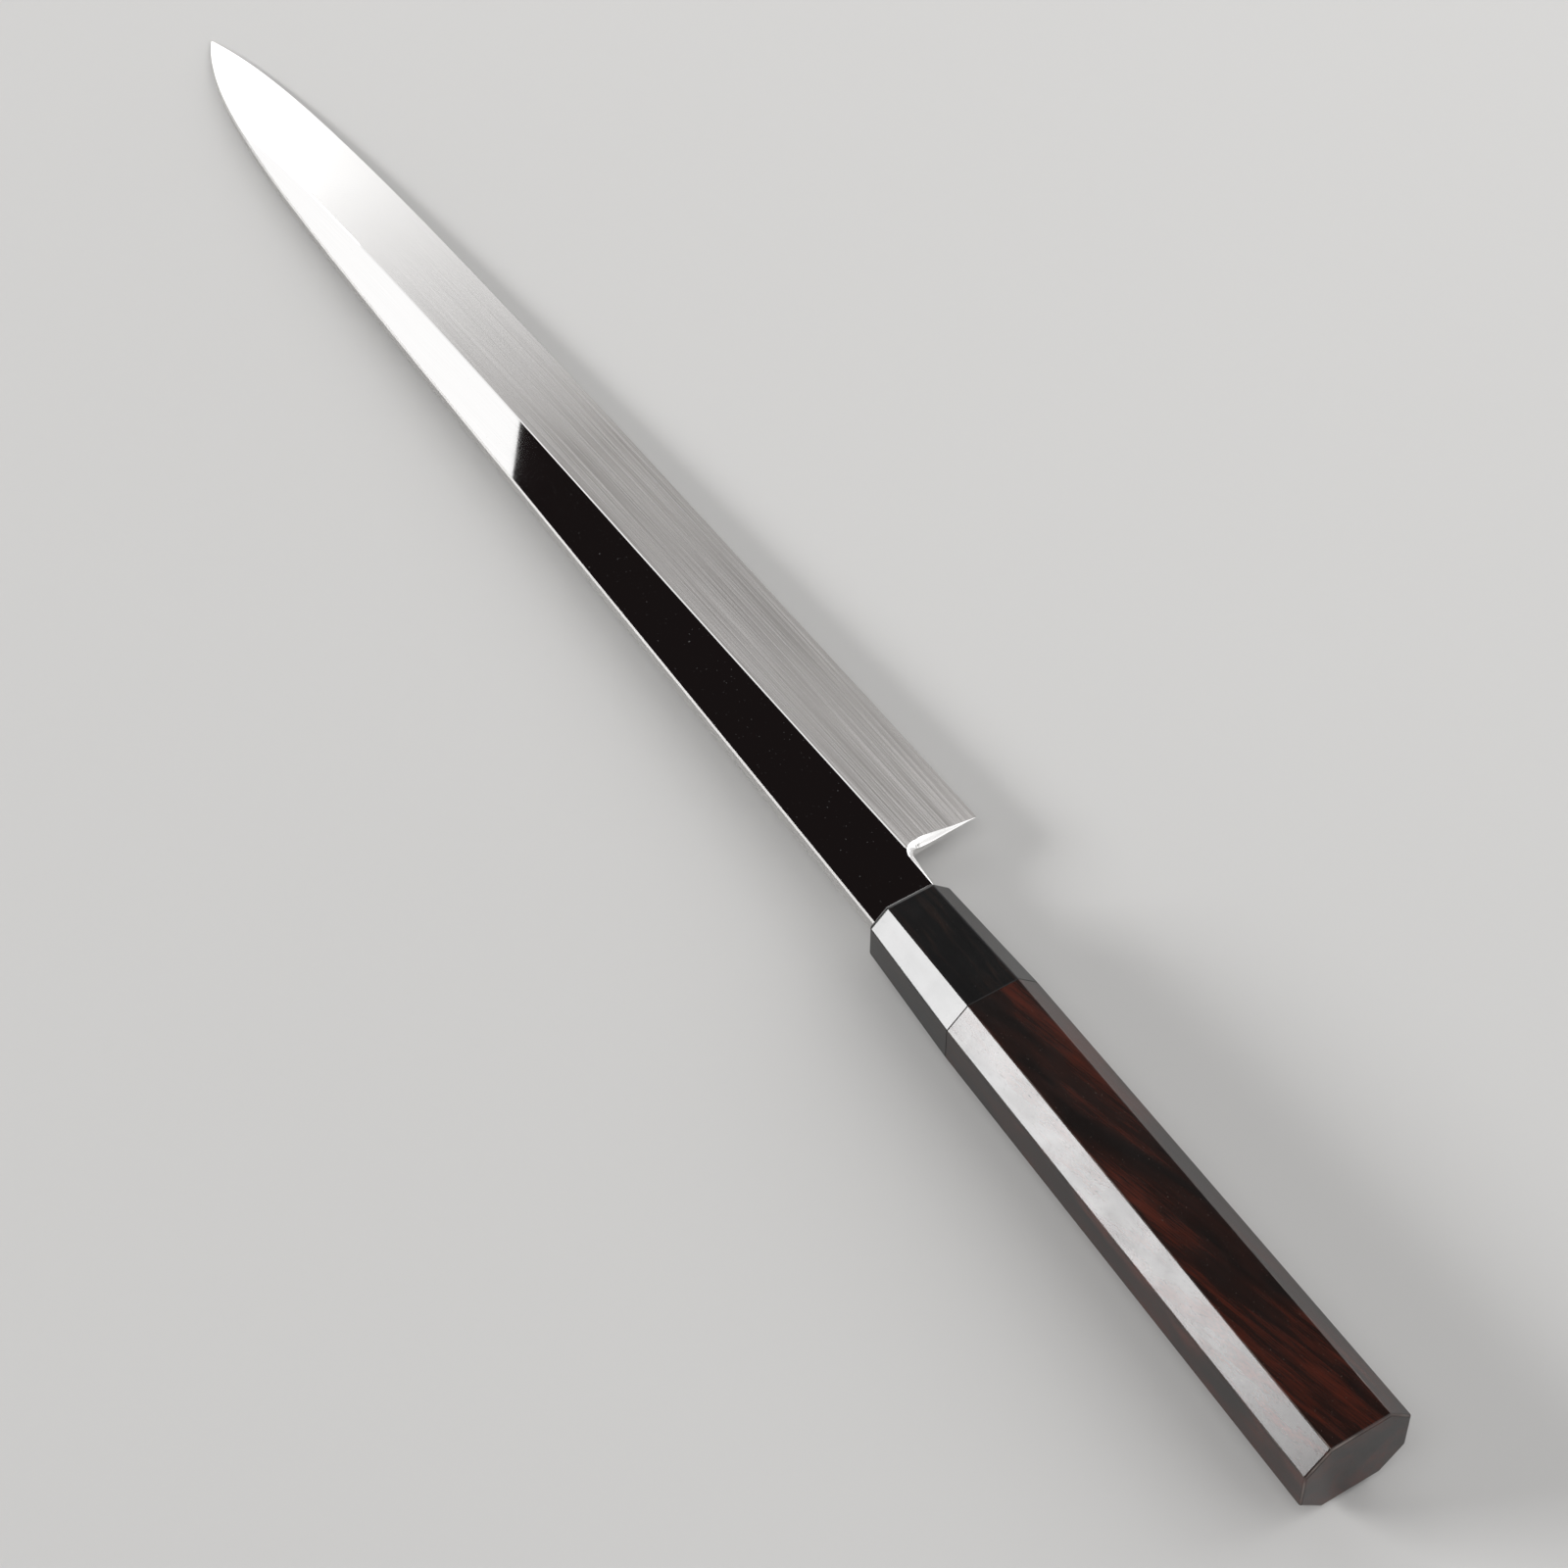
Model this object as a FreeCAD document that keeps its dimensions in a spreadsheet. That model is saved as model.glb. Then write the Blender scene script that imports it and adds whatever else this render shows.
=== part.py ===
import FreeCAD, Part
import math
import os
import Sketcher

# Yanagiba slicing knife, lying on its side with the bevelled face up.
# Every piece is drawn in the knife's own axes: X runs along the handle axis from the butt face to the tip,
# Y points to the spine and Z out of the bevelled face. The last step lays the finished knife on a table.

Vector = FreeCAD.Vector
doc = FreeCAD.newDocument("yanagiba")

# Driving dimensions in millimetres
SIZES = {
    # Octagonal handle: depth lies along the blade's height, thickness across it, corner is the planed-off leg
    "body_length": 118.0,
    "ferrule_length": 30.0,
    "butt_depth": 24.6,
    "butt_thickness": 20.8,
    "butt_corner": 5.4,
    "seam_depth": 21.8,
    "seam_thickness": 18.8,
    "seam_corner": 4.85,
    "front_depth": 19.0,
    "front_thickness": 16.3,
    "front_corner": 4.05,
    "butt_chamfer": 0.6,
    "front_round": 2.0,
    # Dowel that joins ferrule and body, and the slot for the tang
    "dowel_diameter": 12.0,
    "dowel_length": 96.0,
    "dowel_in_ferrule": 20.0,
    "glue_gap": 0.1,
    "slot_gap": 0.5,
    "mouth_gap": 0.35,
    # Tang
    "tang_length": 92.0,
    "tang_root_height": 8.6,
    "tang_root_thickness": 3.2,
    "tang_end_height": 5.0,
    "tang_end_thickness": 2.0,
    "machi_inset": 2.5,
    # Blade outline: rises are above the handle axis, drops below it, lengths start at the ferrule's front
    "blade_reach": 310.2,
    "heel_setback": 14.9,
    "spine_rise": 7.2,
    "nose_rise": 6.55,
    "nose_length": 136.0,
    "tip_drop": 6.6,
    "heel_drop": 27.3,
    "neck_drop": 8.2,
    "choil_radius": 3.6,
    # Blade section: the flat face tapers towards the tip, the bevel runs from the shinogi line to the edge
    "machi_thickness": 3.7,
    "tip_thickness": 2.3,
    "edge_land": 0.15,
    "spine_ease": 0.4,
    "shinogi_heel_drop": 8.85,
    "shinogi_belly_drop": 0.55,
    "shinogi_nose_drop": 4.5,
    "shinogi_run_out": 16.6,
    # Hollow-ground back
    "ura_depth": 0.5,
    "ura_dip": 0.06,
    "ura_rim": 0.6,
    "ura_start": 6.0,
    # How far a cutting shape stands past what it cuts
    "overrun": 5.0,
    # Poles of the curved outlines, as shares of the run and of the height of each curve
    "nose_shoulder_share": 0.616,
    "nose_tip_back_share": 0.144,
    "nose_tip_lift_share": 0.958,
    "edge_belly_run_share": 0.725,
    "edge_belly_rise_share": 0.341,
    "edge_tip_back_share": 0.0866,
    "edge_tip_fall_share": 0.52,
}

# Stretch of the edge curve that the bevel wheel covers, and how far it passes the shinogi and the edge
BEVEL_SPAN_SHARES = (-0.008, 1.03)
BEVEL_REACH_SHARES = (-0.06, 1.25)
# Hollow of the back: the last share of the edge curve it reaches, its spine-side outline and its depth
URA_END_SHARE = 0.975
URA_SPINE_SHARES = (1.0, 0.97, 0.45)
URA_DEPTH_SHARES = (0.35, 1.0, 1.0, 0.0)
URA_CROWN_SHARE = 0.375


def make_sheet(sizes):
    """Put every driving dimension in a named cell."""
    cells = doc.addObject("Spreadsheet::Sheet", "sizes")
    for row, (alias, value) in enumerate(sizes.items(), start=1):
        cells.set(f"A{row}", alias)
        cells.set(f"B{row}", str(value))
        cells.setAlias(f"B{row}", alias)
    doc.recompute()
    return cells


sheet = make_sheet(SIZES)


def size(alias):
    """The present value of a named cell."""
    return float(sheet.get(alias))


def make_body(name):
    """An empty body labelled with its node name."""
    body = doc.addObject("PartDesign::Body", name)
    body.Label = name
    return body


def make_sketch(body, name, role, shift=None):
    """A sketch on one of the body's origin planes, shifted by expressions in the sketch's own axes."""
    sketch = body.newObject("Sketcher::SketchObject", name)
    plane = next(item for item in body.Origin.OriginFeatures if item.Role == role)
    sketch.AttachmentSupport = (plane, [""])
    sketch.MapMode = "FlatFace"
    for axis, expression in (shift or {}).items():
        sketch.setExpression(f".AttachmentOffset.Base.{axis}", expression)
    return sketch


def dimension(sketch, expression, kind, *places):
    """A dimension of a sketch, bound to an expression of the sheet."""
    index = sketch.addConstraint(Sketcher.Constraint(kind, *places, sketch.evalExpression(expression)))
    sketch.setExpression(f"Constraints[{index}]", expression)


def add_loop(sketch, points):
    """A closed chain of straight lines through the points; returns the number of its first line."""
    ends = points[1:] + points[:1]
    lines = [sketch.addGeometry(Part.LineSegment(start, end), False) for start, end in zip(points, ends)]
    for line, following in zip(lines, lines[1:] + lines[:1]):
        sketch.addConstraint(Sketcher.Constraint("Coincident", line, 2, following, 1))
    return lines[0]


def wedge(body, name, station, length, rear, front, turn=0):
    """A block along the axis that tapers evenly between two rectangles, each a depth and a thickness."""
    feature = body.newObject("PartDesign::AdditiveWedge", name)
    bounds = {"Ymin": "0", "Ymax": length}
    for mark, (depth, thickness) in (("", rear), ("2", front)):
        bounds[f"X{mark}min"] = f"-{depth} / 2"
        bounds[f"X{mark}max"] = f"{depth} / 2"
        bounds[f"Z{mark}min"] = f"-{thickness} / 2"
        bounds[f"Z{mark}max"] = f"{thickness} / 2"
    for bound, expression in bounds.items():
        feature.setExpression(bound, expression)
    along = FreeCAD.Rotation(Vector(0, 0, 1), -90)
    rotation = FreeCAD.Rotation(Vector(1, 0, 0), turn).multiply(along)
    feature.Placement = FreeCAD.Placement(Vector(), rotation)
    feature.setExpression(".Placement.Base.x", station)
    doc.recompute()
    return feature


def block_sides(place):
    """Depth and thickness of the handle at a place."""
    return f"sizes.{place}_depth", f"sizes.{place}_thickness"


def facet_sides(place):
    """Distance across the handle between opposite planed corners at a place, the same both ways."""
    across = f"(sizes.{place}_depth + sizes.{place}_thickness - 2 * sizes.{place}_corner) / sqrt(2)"
    return across, across


def planed_octagon(body, name, station, length, rear, front):
    """A tapered octagon: what a tapered block shares with a second one turned by an eighth of a turn."""
    wedge(body, f"{name}_block", station, length, block_sides(rear), block_sides(front))
    planing = make_body(f"{name}_planing")
    wedge(planing, f"{name}_facets", station, length, facet_sides(rear), facet_sides(front), turn=45)
    octagon = body.newObject("PartDesign::Boolean", f"{name}_octagon")
    octagon.Type = "Common"
    octagon.setObjects([planing])
    doc.recompute()
    return octagon


def oblong(body, name, station, rise, drop, thickness):
    """A rectangle across the handle axis, from its rise on the spine side to its drop on the edge side."""
    sketch = make_sketch(body, name, "YZ_Plane", {"z": station})
    up, down = sketch.evalExpression(rise), sketch.evalExpression(drop)
    half = sketch.evalExpression(thickness) / 2
    first = add_loop(sketch, [Vector(up, half), Vector(-down, half), Vector(-down, -half), Vector(up, -half)])
    for line, direction in enumerate(("Horizontal", "Vertical", "Horizontal"), start=first):
        sketch.addConstraint(Sketcher.Constraint(direction, line))
    sketch.addConstraint(Sketcher.Constraint("Symmetric", first, 1, first + 3, 1, -1))
    dimension(sketch, rise, "DistanceX", -1, 1, first, 1)
    dimension(sketch, drop, "DistanceX", first + 1, 1, -1, 1)
    dimension(sketch, thickness, "DistanceY", first + 3, 1, first, 1)
    return sketch


def round_profile(body, name, station, diameter):
    """A circle on the handle axis."""
    sketch = make_sketch(body, name, "YZ_Plane", {"z": station})
    radius = sketch.evalExpression(diameter) / 2
    circle = sketch.addGeometry(Part.Circle(Vector(), Vector(0, 0, 1), radius), False)
    sketch.addConstraint(Sketcher.Constraint("Coincident", circle, 3, -1, 1))
    dimension(sketch, diameter, "Diameter", circle)
    return sketch


def extrude(body, kind, name, profile, length, backwards=False):
    """A pad along the sketch's normal or a pocket against it; backwards swaps the direction."""
    feature = body.newObject(f"PartDesign::{kind}", name)
    feature.Profile = profile
    feature.setExpression("Length", length)
    feature.Reversed = backwards
    doc.recompute()
    return feature


def end_face(shape, pick):
    """Name of the face at one end of the axis; pick is min for the butt end and max for the tip end."""
    centres = [face.CenterOfMass.x for face in shape.Faces]
    return f"Face{centres.index(pick(centres)) + 1}"


SEAM = "sizes.body_length"
FRONT = "(sizes.body_length + sizes.ferrule_length)"
MACHI = f"({FRONT} - sizes.machi_inset)"
DOWEL_FRONT = f"({SEAM} + sizes.dowel_in_ferrule)"
DOWEL_REAR = f"({DOWEL_FRONT} - sizes.dowel_length)"
BORE = "sizes.dowel_diameter + 2 * sizes.glue_gap"
SLOT_HALF = "(sizes.tang_root_height / 2 + sizes.slot_gap)"
SLOT_WIDTH = "sizes.tang_root_thickness + 2 * sizes.slot_gap"
MOUTH_RISE = "sizes.spine_rise + sizes.mouth_gap"
MOUTH_DROP = "sizes.neck_drop + sizes.mouth_gap"
MOUTH_WIDTH = "sizes.machi_thickness + 2 * sizes.mouth_gap"


def make_handle_body():
    """Octagonal wooden grip: tapers to the seam, eased at the butt, with a blind bore for the dowel."""
    body = make_body("handle_body")
    blank = planed_octagon(body, "grip", "0", SEAM, "butt", "seam")
    ease = body.newObject("PartDesign::Chamfer", "butt_ease")
    ease.Base = (blank, [end_face(blank.Shape, min)])
    ease.setExpression("Size", "sizes.butt_chamfer")
    doc.recompute()
    bore = round_profile(body, "grip_bore_circle", SEAM, BORE)
    extrude(body, "Pocket", "grip_bore", bore, "sizes.dowel_length - sizes.dowel_in_ferrule")
    return body


def make_ferrule():
    """Horn ferrule: a steeper octagon with a rounded front, bored for the dowel and slotted for the neck."""
    body = make_body("ferrule")
    blank = planed_octagon(body, "ferrule", SEAM, "sizes.ferrule_length", "seam", "front")
    rounding = body.newObject("PartDesign::Fillet", "front_rounding")
    rounding.Base = (blank, [end_face(blank.Shape, max)])
    rounding.setExpression("Radius", "sizes.front_round")
    doc.recompute()
    bore = round_profile(body, "ferrule_bore_circle", SEAM, BORE)
    extrude(body, "Pocket", "ferrule_bore", bore, "sizes.dowel_in_ferrule", backwards=True)
    slot = oblong(body, "ferrule_slot_oblong", FRONT, SLOT_HALF, SLOT_HALF, SLOT_WIDTH)
    extrude(body, "Pocket", "ferrule_slot", slot, "sizes.ferrule_length - sizes.dowel_in_ferrule")
    mouth = oblong(body, "mouth_oblong", FRONT, MOUTH_RISE, MOUTH_DROP, MOUTH_WIDTH)
    extrude(body, "Pocket", "mouth", mouth, "sizes.machi_inset")
    return body


def make_core_dowel():
    """Wooden dowel glued into body and ferrule, slotted from end to end for the tang."""
    body = make_body("core_dowel")
    circle = round_profile(body, "dowel_circle", DOWEL_REAR, "sizes.dowel_diameter")
    extrude(body, "Pad", "dowel_rod", circle, "sizes.dowel_length")
    slot = oblong(body, "dowel_slot_oblong", DOWEL_FRONT, SLOT_HALF, SLOT_HALF, SLOT_WIDTH)
    extrude(body, "Pocket", "dowel_slot", slot, "sizes.dowel_length")
    return body


def filler(name, front, length, rise, drop, width, blank):
    """What fills a slot round the blade: a bar of the slot's size less the blade blank."""
    bar = make_body(f"{name}_bar")
    profile = oblong(bar, f"{name}_oblong", front, rise, drop, width)
    extrude(bar, "Pad", f"{name}_pad", profile, length, backwards=True)
    piece = doc.addObject("Part::Cut", name)
    piece.Label = name
    piece.Base = bar
    piece.Tool = blank
    doc.recompute()
    return piece


def edge_poles():
    """Poles of the cutting edge in plan, heel to tip, from the ferrule's front."""
    heel = Vector(size("heel_setback"), -size("heel_drop"))
    tip = Vector(size("blade_reach"), -size("tip_drop"))
    run, rise = tip.x - heel.x, tip.y - heel.y
    belly = heel + Vector(run * size("edge_belly_run_share"), rise * size("edge_belly_rise_share"))
    below_tip = tip - Vector(run * size("edge_tip_back_share"), rise * size("edge_tip_fall_share"))
    return [heel, belly, below_tip, tip]


def nose_poles():
    """Poles of the spine's drop to the tip in plan."""
    start = Vector(size("blade_reach") - size("nose_length"), size("nose_rise"))
    tip = Vector(size("blade_reach"), -size("tip_drop"))
    run, fall = size("nose_length"), size("nose_rise") + size("tip_drop")
    slope = (size("nose_rise") - size("spine_rise")) / start.x
    shoulder = start + Vector(1, slope) * (run * size("nose_shoulder_share"))
    above_tip = tip + Vector(-run * size("nose_tip_back_share"), fall * size("nose_tip_lift_share"))
    return [start, shoulder, above_tip, tip]


def add_curve(sketch, poles):
    """A cubic curve in a sketch with a construction circle on each pole; returns curve and circles."""
    circles = [sketch.addGeometry(Part.Circle(pole, Vector(0, 0, 1), 1), True) for pole in poles]
    sketch.addConstraint(Sketcher.Constraint("Weight", circles[0], 1))
    for circle in circles[1:]:
        sketch.addConstraint(Sketcher.Constraint("Equal", circles[0], circle))
    degree = len(poles) - 1
    curve = sketch.addGeometry(Part.BSplineCurve(poles, None, None, False, degree, None, False), False)
    for index, circle in enumerate(circles):
        kind = "InternalAlignment:Sketcher::BSplineControlPoint"
        sketch.addConstraint(Sketcher.Constraint(kind, circle, 3, curve, index))
    return curve, circles


def outline_sketch(body):
    """The blade and neck in plan: spine, nose, edge, heel, choil and neck, on the level of the flat back."""
    sketch = make_sketch(body, "blade_outline", "XY_Plane", {"x": FRONT, "z": "-sizes.machi_thickness / 2"})
    nose, edge = nose_poles(), edge_poles()
    inset, radius, low = size("machi_inset"), size("choil_radius"), -size("neck_drop")
    slope = (size("nose_rise") - size("spine_rise")) / nose[0].x
    neck_top, neck_low = Vector(-inset, size("spine_rise") - slope * inset), Vector(-inset, low)
    heel = edge[0]
    spine = sketch.addGeometry(Part.LineSegment(neck_top, nose[0]), False)
    nose_curve, nose_circles = add_curve(sketch, nose)
    edge_curve, edge_circles = add_curve(sketch, edge)
    choil = sketch.addGeometry(Part.LineSegment(heel, Vector(heel.x, low - radius)), False)
    middle = Part.Circle(Vector(heel.x - radius, low - radius), Vector(0, 0, 1), radius)
    bend = sketch.addGeometry(Part.ArcOfCircle(middle, 0, math.pi / 2), False)
    neck = sketch.addGeometry(Part.LineSegment(Vector(heel.x - radius, low), neck_low), False)
    rear = sketch.addGeometry(Part.LineSegment(neck_low, neck_top), False)
    joins = ((spine, 2, nose_curve, 1), (nose_curve, 2, edge_curve, 2), (edge_curve, 1, choil, 1),
             (neck, 2, rear, 1), (rear, 2, spine, 1))
    for join in joins:
        sketch.addConstraint(Sketcher.Constraint("Coincident", *join))
    sketch.addConstraint(Sketcher.Constraint("Tangent", choil, 2, bend, 1))
    sketch.addConstraint(Sketcher.Constraint("Tangent", bend, 2, neck, 1))
    sketch.addConstraint(Sketcher.Constraint("Vertical", choil))
    sketch.addConstraint(Sketcher.Constraint("Horizontal", neck))
    sketch.addConstraint(Sketcher.Constraint("Vertical", rear))
    dimension(sketch, "sizes.choil_radius", "Radius", bend)
    dimension(sketch, "sizes.machi_inset", "DistanceX", rear, 1, -1, 1)
    dimension(sketch, "sizes.neck_drop", "DistanceY", rear, 1, -1, 1)
    tilt = "(sizes.nose_rise - sizes.spine_rise) / (sizes.blade_reach - sizes.nose_length)"
    fall = "(sizes.nose_rise + sizes.tip_drop)"
    run, rise = "(sizes.blade_reach - sizes.heel_setback)", "(sizes.heel_drop - sizes.tip_drop)"
    dimension(sketch, f"sizes.spine_rise - sizes.machi_inset * {tilt}", "DistanceY", -1, 1, spine, 1)
    shoulder = "sizes.nose_length * sizes.nose_shoulder_share"
    above = {
        nose_circles[0]: ("sizes.blade_reach - sizes.nose_length", "sizes.nose_rise"),
        nose_circles[1]: (f"sizes.blade_reach - sizes.nose_length + {shoulder}",
                          f"sizes.nose_rise + {tilt} * {shoulder}"),
        nose_circles[2]: ("sizes.blade_reach - sizes.nose_length * sizes.nose_tip_back_share",
                          f"{fall} * sizes.nose_tip_lift_share - sizes.tip_drop"),
    }
    below = {
        edge_circles[3]: ("sizes.blade_reach", "sizes.tip_drop"),
        edge_circles[2]: (f"sizes.blade_reach - {run} * sizes.edge_tip_back_share",
                          f"sizes.tip_drop + {rise} * sizes.edge_tip_fall_share"),
        edge_circles[1]: (f"sizes.heel_setback + {run} * sizes.edge_belly_run_share",
                          f"sizes.heel_drop - {rise} * sizes.edge_belly_rise_share"),
        edge_circles[0]: ("sizes.heel_setback", "sizes.heel_drop"),
    }
    for circle, (along, up) in above.items():
        dimension(sketch, along, "DistanceX", -1, 1, circle, 3)
        dimension(sketch, up, "DistanceY", -1, 1, circle, 3)
    for circle, (along, down) in below.items():
        dimension(sketch, along, "DistanceX", -1, 1, circle, 3)
        dimension(sketch, down, "DistanceY", circle, 3, -1, 1)
    return sketch


def flat_face_level(along):
    """Height of the polished flat face above the handle axis, falling evenly from ferrule to tip."""
    fall = (size("machi_thickness") - size("tip_thickness")) / size("blade_reach")
    return size("machi_thickness") / 2 - fall * along


def taper_sketch(body):
    """Side view of the wedge that grinds the flat face down towards the tip."""
    sketch = make_sketch(body, "taper_wedge", "XZ_Plane", {"x": FRONT})
    top, far = size("machi_thickness") / 2, size("blade_reach") + size("overrun")
    first = add_loop(sketch, [Vector(0, top), Vector(far, flat_face_level(far)), Vector(far, top)])
    sketch.addConstraint(Sketcher.Constraint("Vertical", first + 1))
    sketch.addConstraint(Sketcher.Constraint("Horizontal", first + 2))
    sketch.addConstraint(Sketcher.Constraint("PointOnObject", first, 1, -2))
    dimension(sketch, "sizes.machi_thickness / 2", "DistanceY", -1, 1, first, 1)
    dimension(sketch, "sizes.blade_reach + sizes.overrun", "DistanceX", first, 1, first, 2)
    fall = "(sizes.machi_thickness - sizes.tip_thickness) / sizes.blade_reach"
    dimension(sketch, f"{fall} * (sizes.blade_reach + sizes.overrun)", "DistanceY", first, 2, first + 2, 1)
    return sketch


def spine_edges(shape):
    """Names of the long corners of the spine, on the flat face and on the back."""
    front_x = size("body_length") + size("ferrule_length")
    names = []
    for number, edge in enumerate(shape.Edges, start=1):
        middle = edge.valueAt((edge.FirstParameter + edge.LastParameter) / 2)
        along_blade = edge.BoundBox.XLength > size("nose_length") / 2
        if along_blade and middle.x > front_x and middle.y > -size("tip_drop") / 2:
            names.append(f"Edge{number}")
    return names


def make_blade_blank():
    """Forged blank: outline at machi thickness, flat face tapered, spine eased, tang drawn out."""
    body = make_body("blade_blank")
    extrude(body, "Pad", "blade_plate", outline_sketch(body), "sizes.machi_thickness")
    taper = body.newObject("PartDesign::Pocket", "distal_taper")
    taper.Profile = taper_sketch(body)
    taper.Type = "ThroughAll"
    taper.SideType = "Symmetric"
    doc.recompute()
    ease = body.newObject("PartDesign::Chamfer", "spine_easing")
    ease.Base = (taper, spine_edges(taper.Shape))
    ease.setExpression("Size", "sizes.spine_ease")
    doc.recompute()
    end = "sizes.tang_end_height", "sizes.tang_end_thickness"
    root = "sizes.tang_root_height", "sizes.tang_root_thickness"
    wedge(body, "tang", f"{MACHI} - sizes.tang_length", "sizes.tang_length", end, root)
    return body


def blossom(poles, shares):
    """Polar form of a Bezier curve: one de Casteljau step for each share."""
    row = list(poles)
    for share in shares:
        row = [start + (end - start) * share for start, end in zip(row, row[1:])]
    return row[0]


def curve_span(poles, start_share, end_share):
    """Poles of the stretch of the same curve between two shares of it, which may lie past its ends."""
    degree = len(poles) - 1
    mixes = [[start_share] * (degree - late) + [end_share] * late for late in range(degree + 1)]
    return [blossom(poles, mix) for mix in mixes]


def grinding_tool(name, rows, depth):
    """A cutter: the Bezier surface through rows of poles, thickened along Z by a signed depth."""
    surface = Part.BezierSurface()
    surface.increase(len(rows) - 1, len(rows[0]) - 1)
    for i, row in enumerate(rows, start=1):
        for j, pole in enumerate(row, start=1):
            surface.setPole(i, j, pole)
    tool = doc.addObject("Part::Feature", name)
    tool.Shape = surface.toShape().extrude(Vector(0, 0, depth))
    front = Vector(size("body_length") + size("ferrule_length"))
    tool.Placement = FreeCAD.Placement(front, FreeCAD.Rotation())
    return tool


def make_bevel_tool():
    """Cuts the wide bevel: straight rulings from the edge land up to the shinogi line on the flat face."""
    back = -size("machi_thickness") / 2
    shinogi_heights = (-size("shinogi_heel_drop"), -size("shinogi_belly_drop"),
                       -size("shinogi_nose_drop"), size("shinogi_run_out"))
    edge = [Vector(pole.x, pole.y, back + size("edge_land")) for pole in edge_poles()]
    shinogi = [Vector(pole.x, height, flat_face_level(pole.x)) for pole, height in zip(edge, shinogi_heights)]
    rows = []
    for low, high in zip(curve_span(edge, *BEVEL_SPAN_SHARES), curve_span(shinogi, *BEVEL_SPAN_SHARES)):
        rows.append([low + (high - low) * share for share in BEVEL_REACH_SHARES])
    return grinding_tool("bevel_grind", rows, size("overrun"))


def make_ura_tool():
    """Cuts the hollow of the back: an arched trough that leaves a flat rim along edge, spine and tip."""
    back = -size("machi_thickness") / 2
    edge = edge_poles()
    start_share = (size("ura_start") - size("heel_setback")) / (3 * (edge[1].x - edge[0].x))
    low_side = [pole + Vector(0, size("ura_rim")) for pole in curve_span(edge, start_share, URA_END_SHARE)]
    spine_side = [(size("spine_rise") - size("ura_rim")) * share for share in URA_SPINE_SHARES]
    spine_side.append(low_side[-1].y + size("ura_rim"))
    crown = (size("ura_depth") + size("ura_dip")) / URA_CROWN_SHARE
    rows = []
    for low, high, share in zip(low_side, spine_side, URA_DEPTH_SHARES):
        level = back - size("ura_dip")
        rows.append([Vector(low.x, low.y, level), Vector(low.x, (low.y + high) / 2, level + crown * share),
                     Vector(low.x, high, level)])
    return grinding_tool("ura_grind", rows, -size("overrun"))


def make_blade(blank):
    """The blank with its bevel and then its hollow back ground away."""
    bevelled = doc.addObject("Part::Cut", "bevelled_blank")
    bevelled.Base = blank
    bevelled.Tool = make_bevel_tool()
    doc.recompute()
    blade = doc.addObject("Part::Cut", "blade")
    blade.Label = "blade"
    blade.Base = bevelled
    blade.Tool = make_ura_tool()
    doc.recompute()
    return blade


def lay_down(pieces):
    """Rest the knife on the level Z = 0: on the tip and on the handle's lower corner that touches first."""
    half_blade = size("machi_thickness") / 2
    tip_x = size("body_length") + size("ferrule_length") + size("blade_reach")
    stations = {"butt": 0, "seam": size("body_length"), "front": size("body_length") + size("ferrule_length")}
    slope = max((size(f"{place}_thickness") / 2 - half_blade) / (tip_x - x) for place, x in stations.items())
    turn = FreeCAD.Rotation(Vector(0, 1, 0), math.degrees(math.atan(slope)))
    tilted = Part.makeCompound([piece.Shape for piece in pieces])
    tilted.Placement = FreeCAD.Placement(Vector(), turn)
    box = tilted.optimalBoundingBox(False, False)
    lay = FreeCAD.Placement(Vector(-box.Center.x, -box.Center.y, -box.ZMin), turn)
    for piece in pieces:
        piece.Placement = lay
    doc.recompute()


def check_and_write(pieces):
    """Stop on any failed object or bad shape, then write one STEP file for each piece."""
    failed = [item.Name for item in doc.Objects if {"Invalid", "Error"} & set(item.State)]
    if failed:
        raise RuntimeError(f"failed objects: {failed}")
    for piece in pieces:
        if piece.Shape.isNull() or not piece.Shape.isValid() or len(piece.Shape.Solids) != 1:
            raise RuntimeError(f"bad shape: {piece.Label}")
    os.makedirs("parts", exist_ok=True)
    for piece in pieces:
        piece.Shape.exportStep(f"parts/{piece.Label}.step")
        print(f"{piece.Label}: {len(piece.Shape.Faces)} faces")


blade_blank = make_blade_blank()
pieces = [
    make_blade(blade_blank),
    make_ferrule(),
    make_handle_body(),
    make_core_dowel(),
    filler("tang_bedding", MACHI, f"{MACHI} - {DOWEL_REAR}", SLOT_HALF, SLOT_HALF, SLOT_WIDTH, blade_blank),
    filler("slot_seal", FRONT, "sizes.machi_inset", MOUTH_RISE, MOUTH_DROP, MOUTH_WIDTH, blade_blank),
]
lay_down(pieces)
check_and_write(pieces)
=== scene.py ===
import logging
import math
from collections.abc import Sequence
from dataclasses import dataclass
from enum import IntEnum
from typing import Any

import bmesh
import bpy
import numpy as np
from mathutils import Matrix, Quaternion, Vector


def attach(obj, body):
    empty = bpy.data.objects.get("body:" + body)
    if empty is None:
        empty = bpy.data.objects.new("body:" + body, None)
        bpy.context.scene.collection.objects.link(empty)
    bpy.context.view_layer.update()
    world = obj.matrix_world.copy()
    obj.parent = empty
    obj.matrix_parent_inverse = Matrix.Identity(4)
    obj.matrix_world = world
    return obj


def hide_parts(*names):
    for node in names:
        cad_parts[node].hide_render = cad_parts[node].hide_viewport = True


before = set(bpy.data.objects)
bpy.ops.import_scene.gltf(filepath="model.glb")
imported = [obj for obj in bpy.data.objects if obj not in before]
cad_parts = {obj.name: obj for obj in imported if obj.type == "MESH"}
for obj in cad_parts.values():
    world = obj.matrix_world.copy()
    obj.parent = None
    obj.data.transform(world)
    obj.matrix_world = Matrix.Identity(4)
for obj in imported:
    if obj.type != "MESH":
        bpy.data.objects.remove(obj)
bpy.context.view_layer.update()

log = logging.getLogger("knife")
Array = np.ndarray
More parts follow.
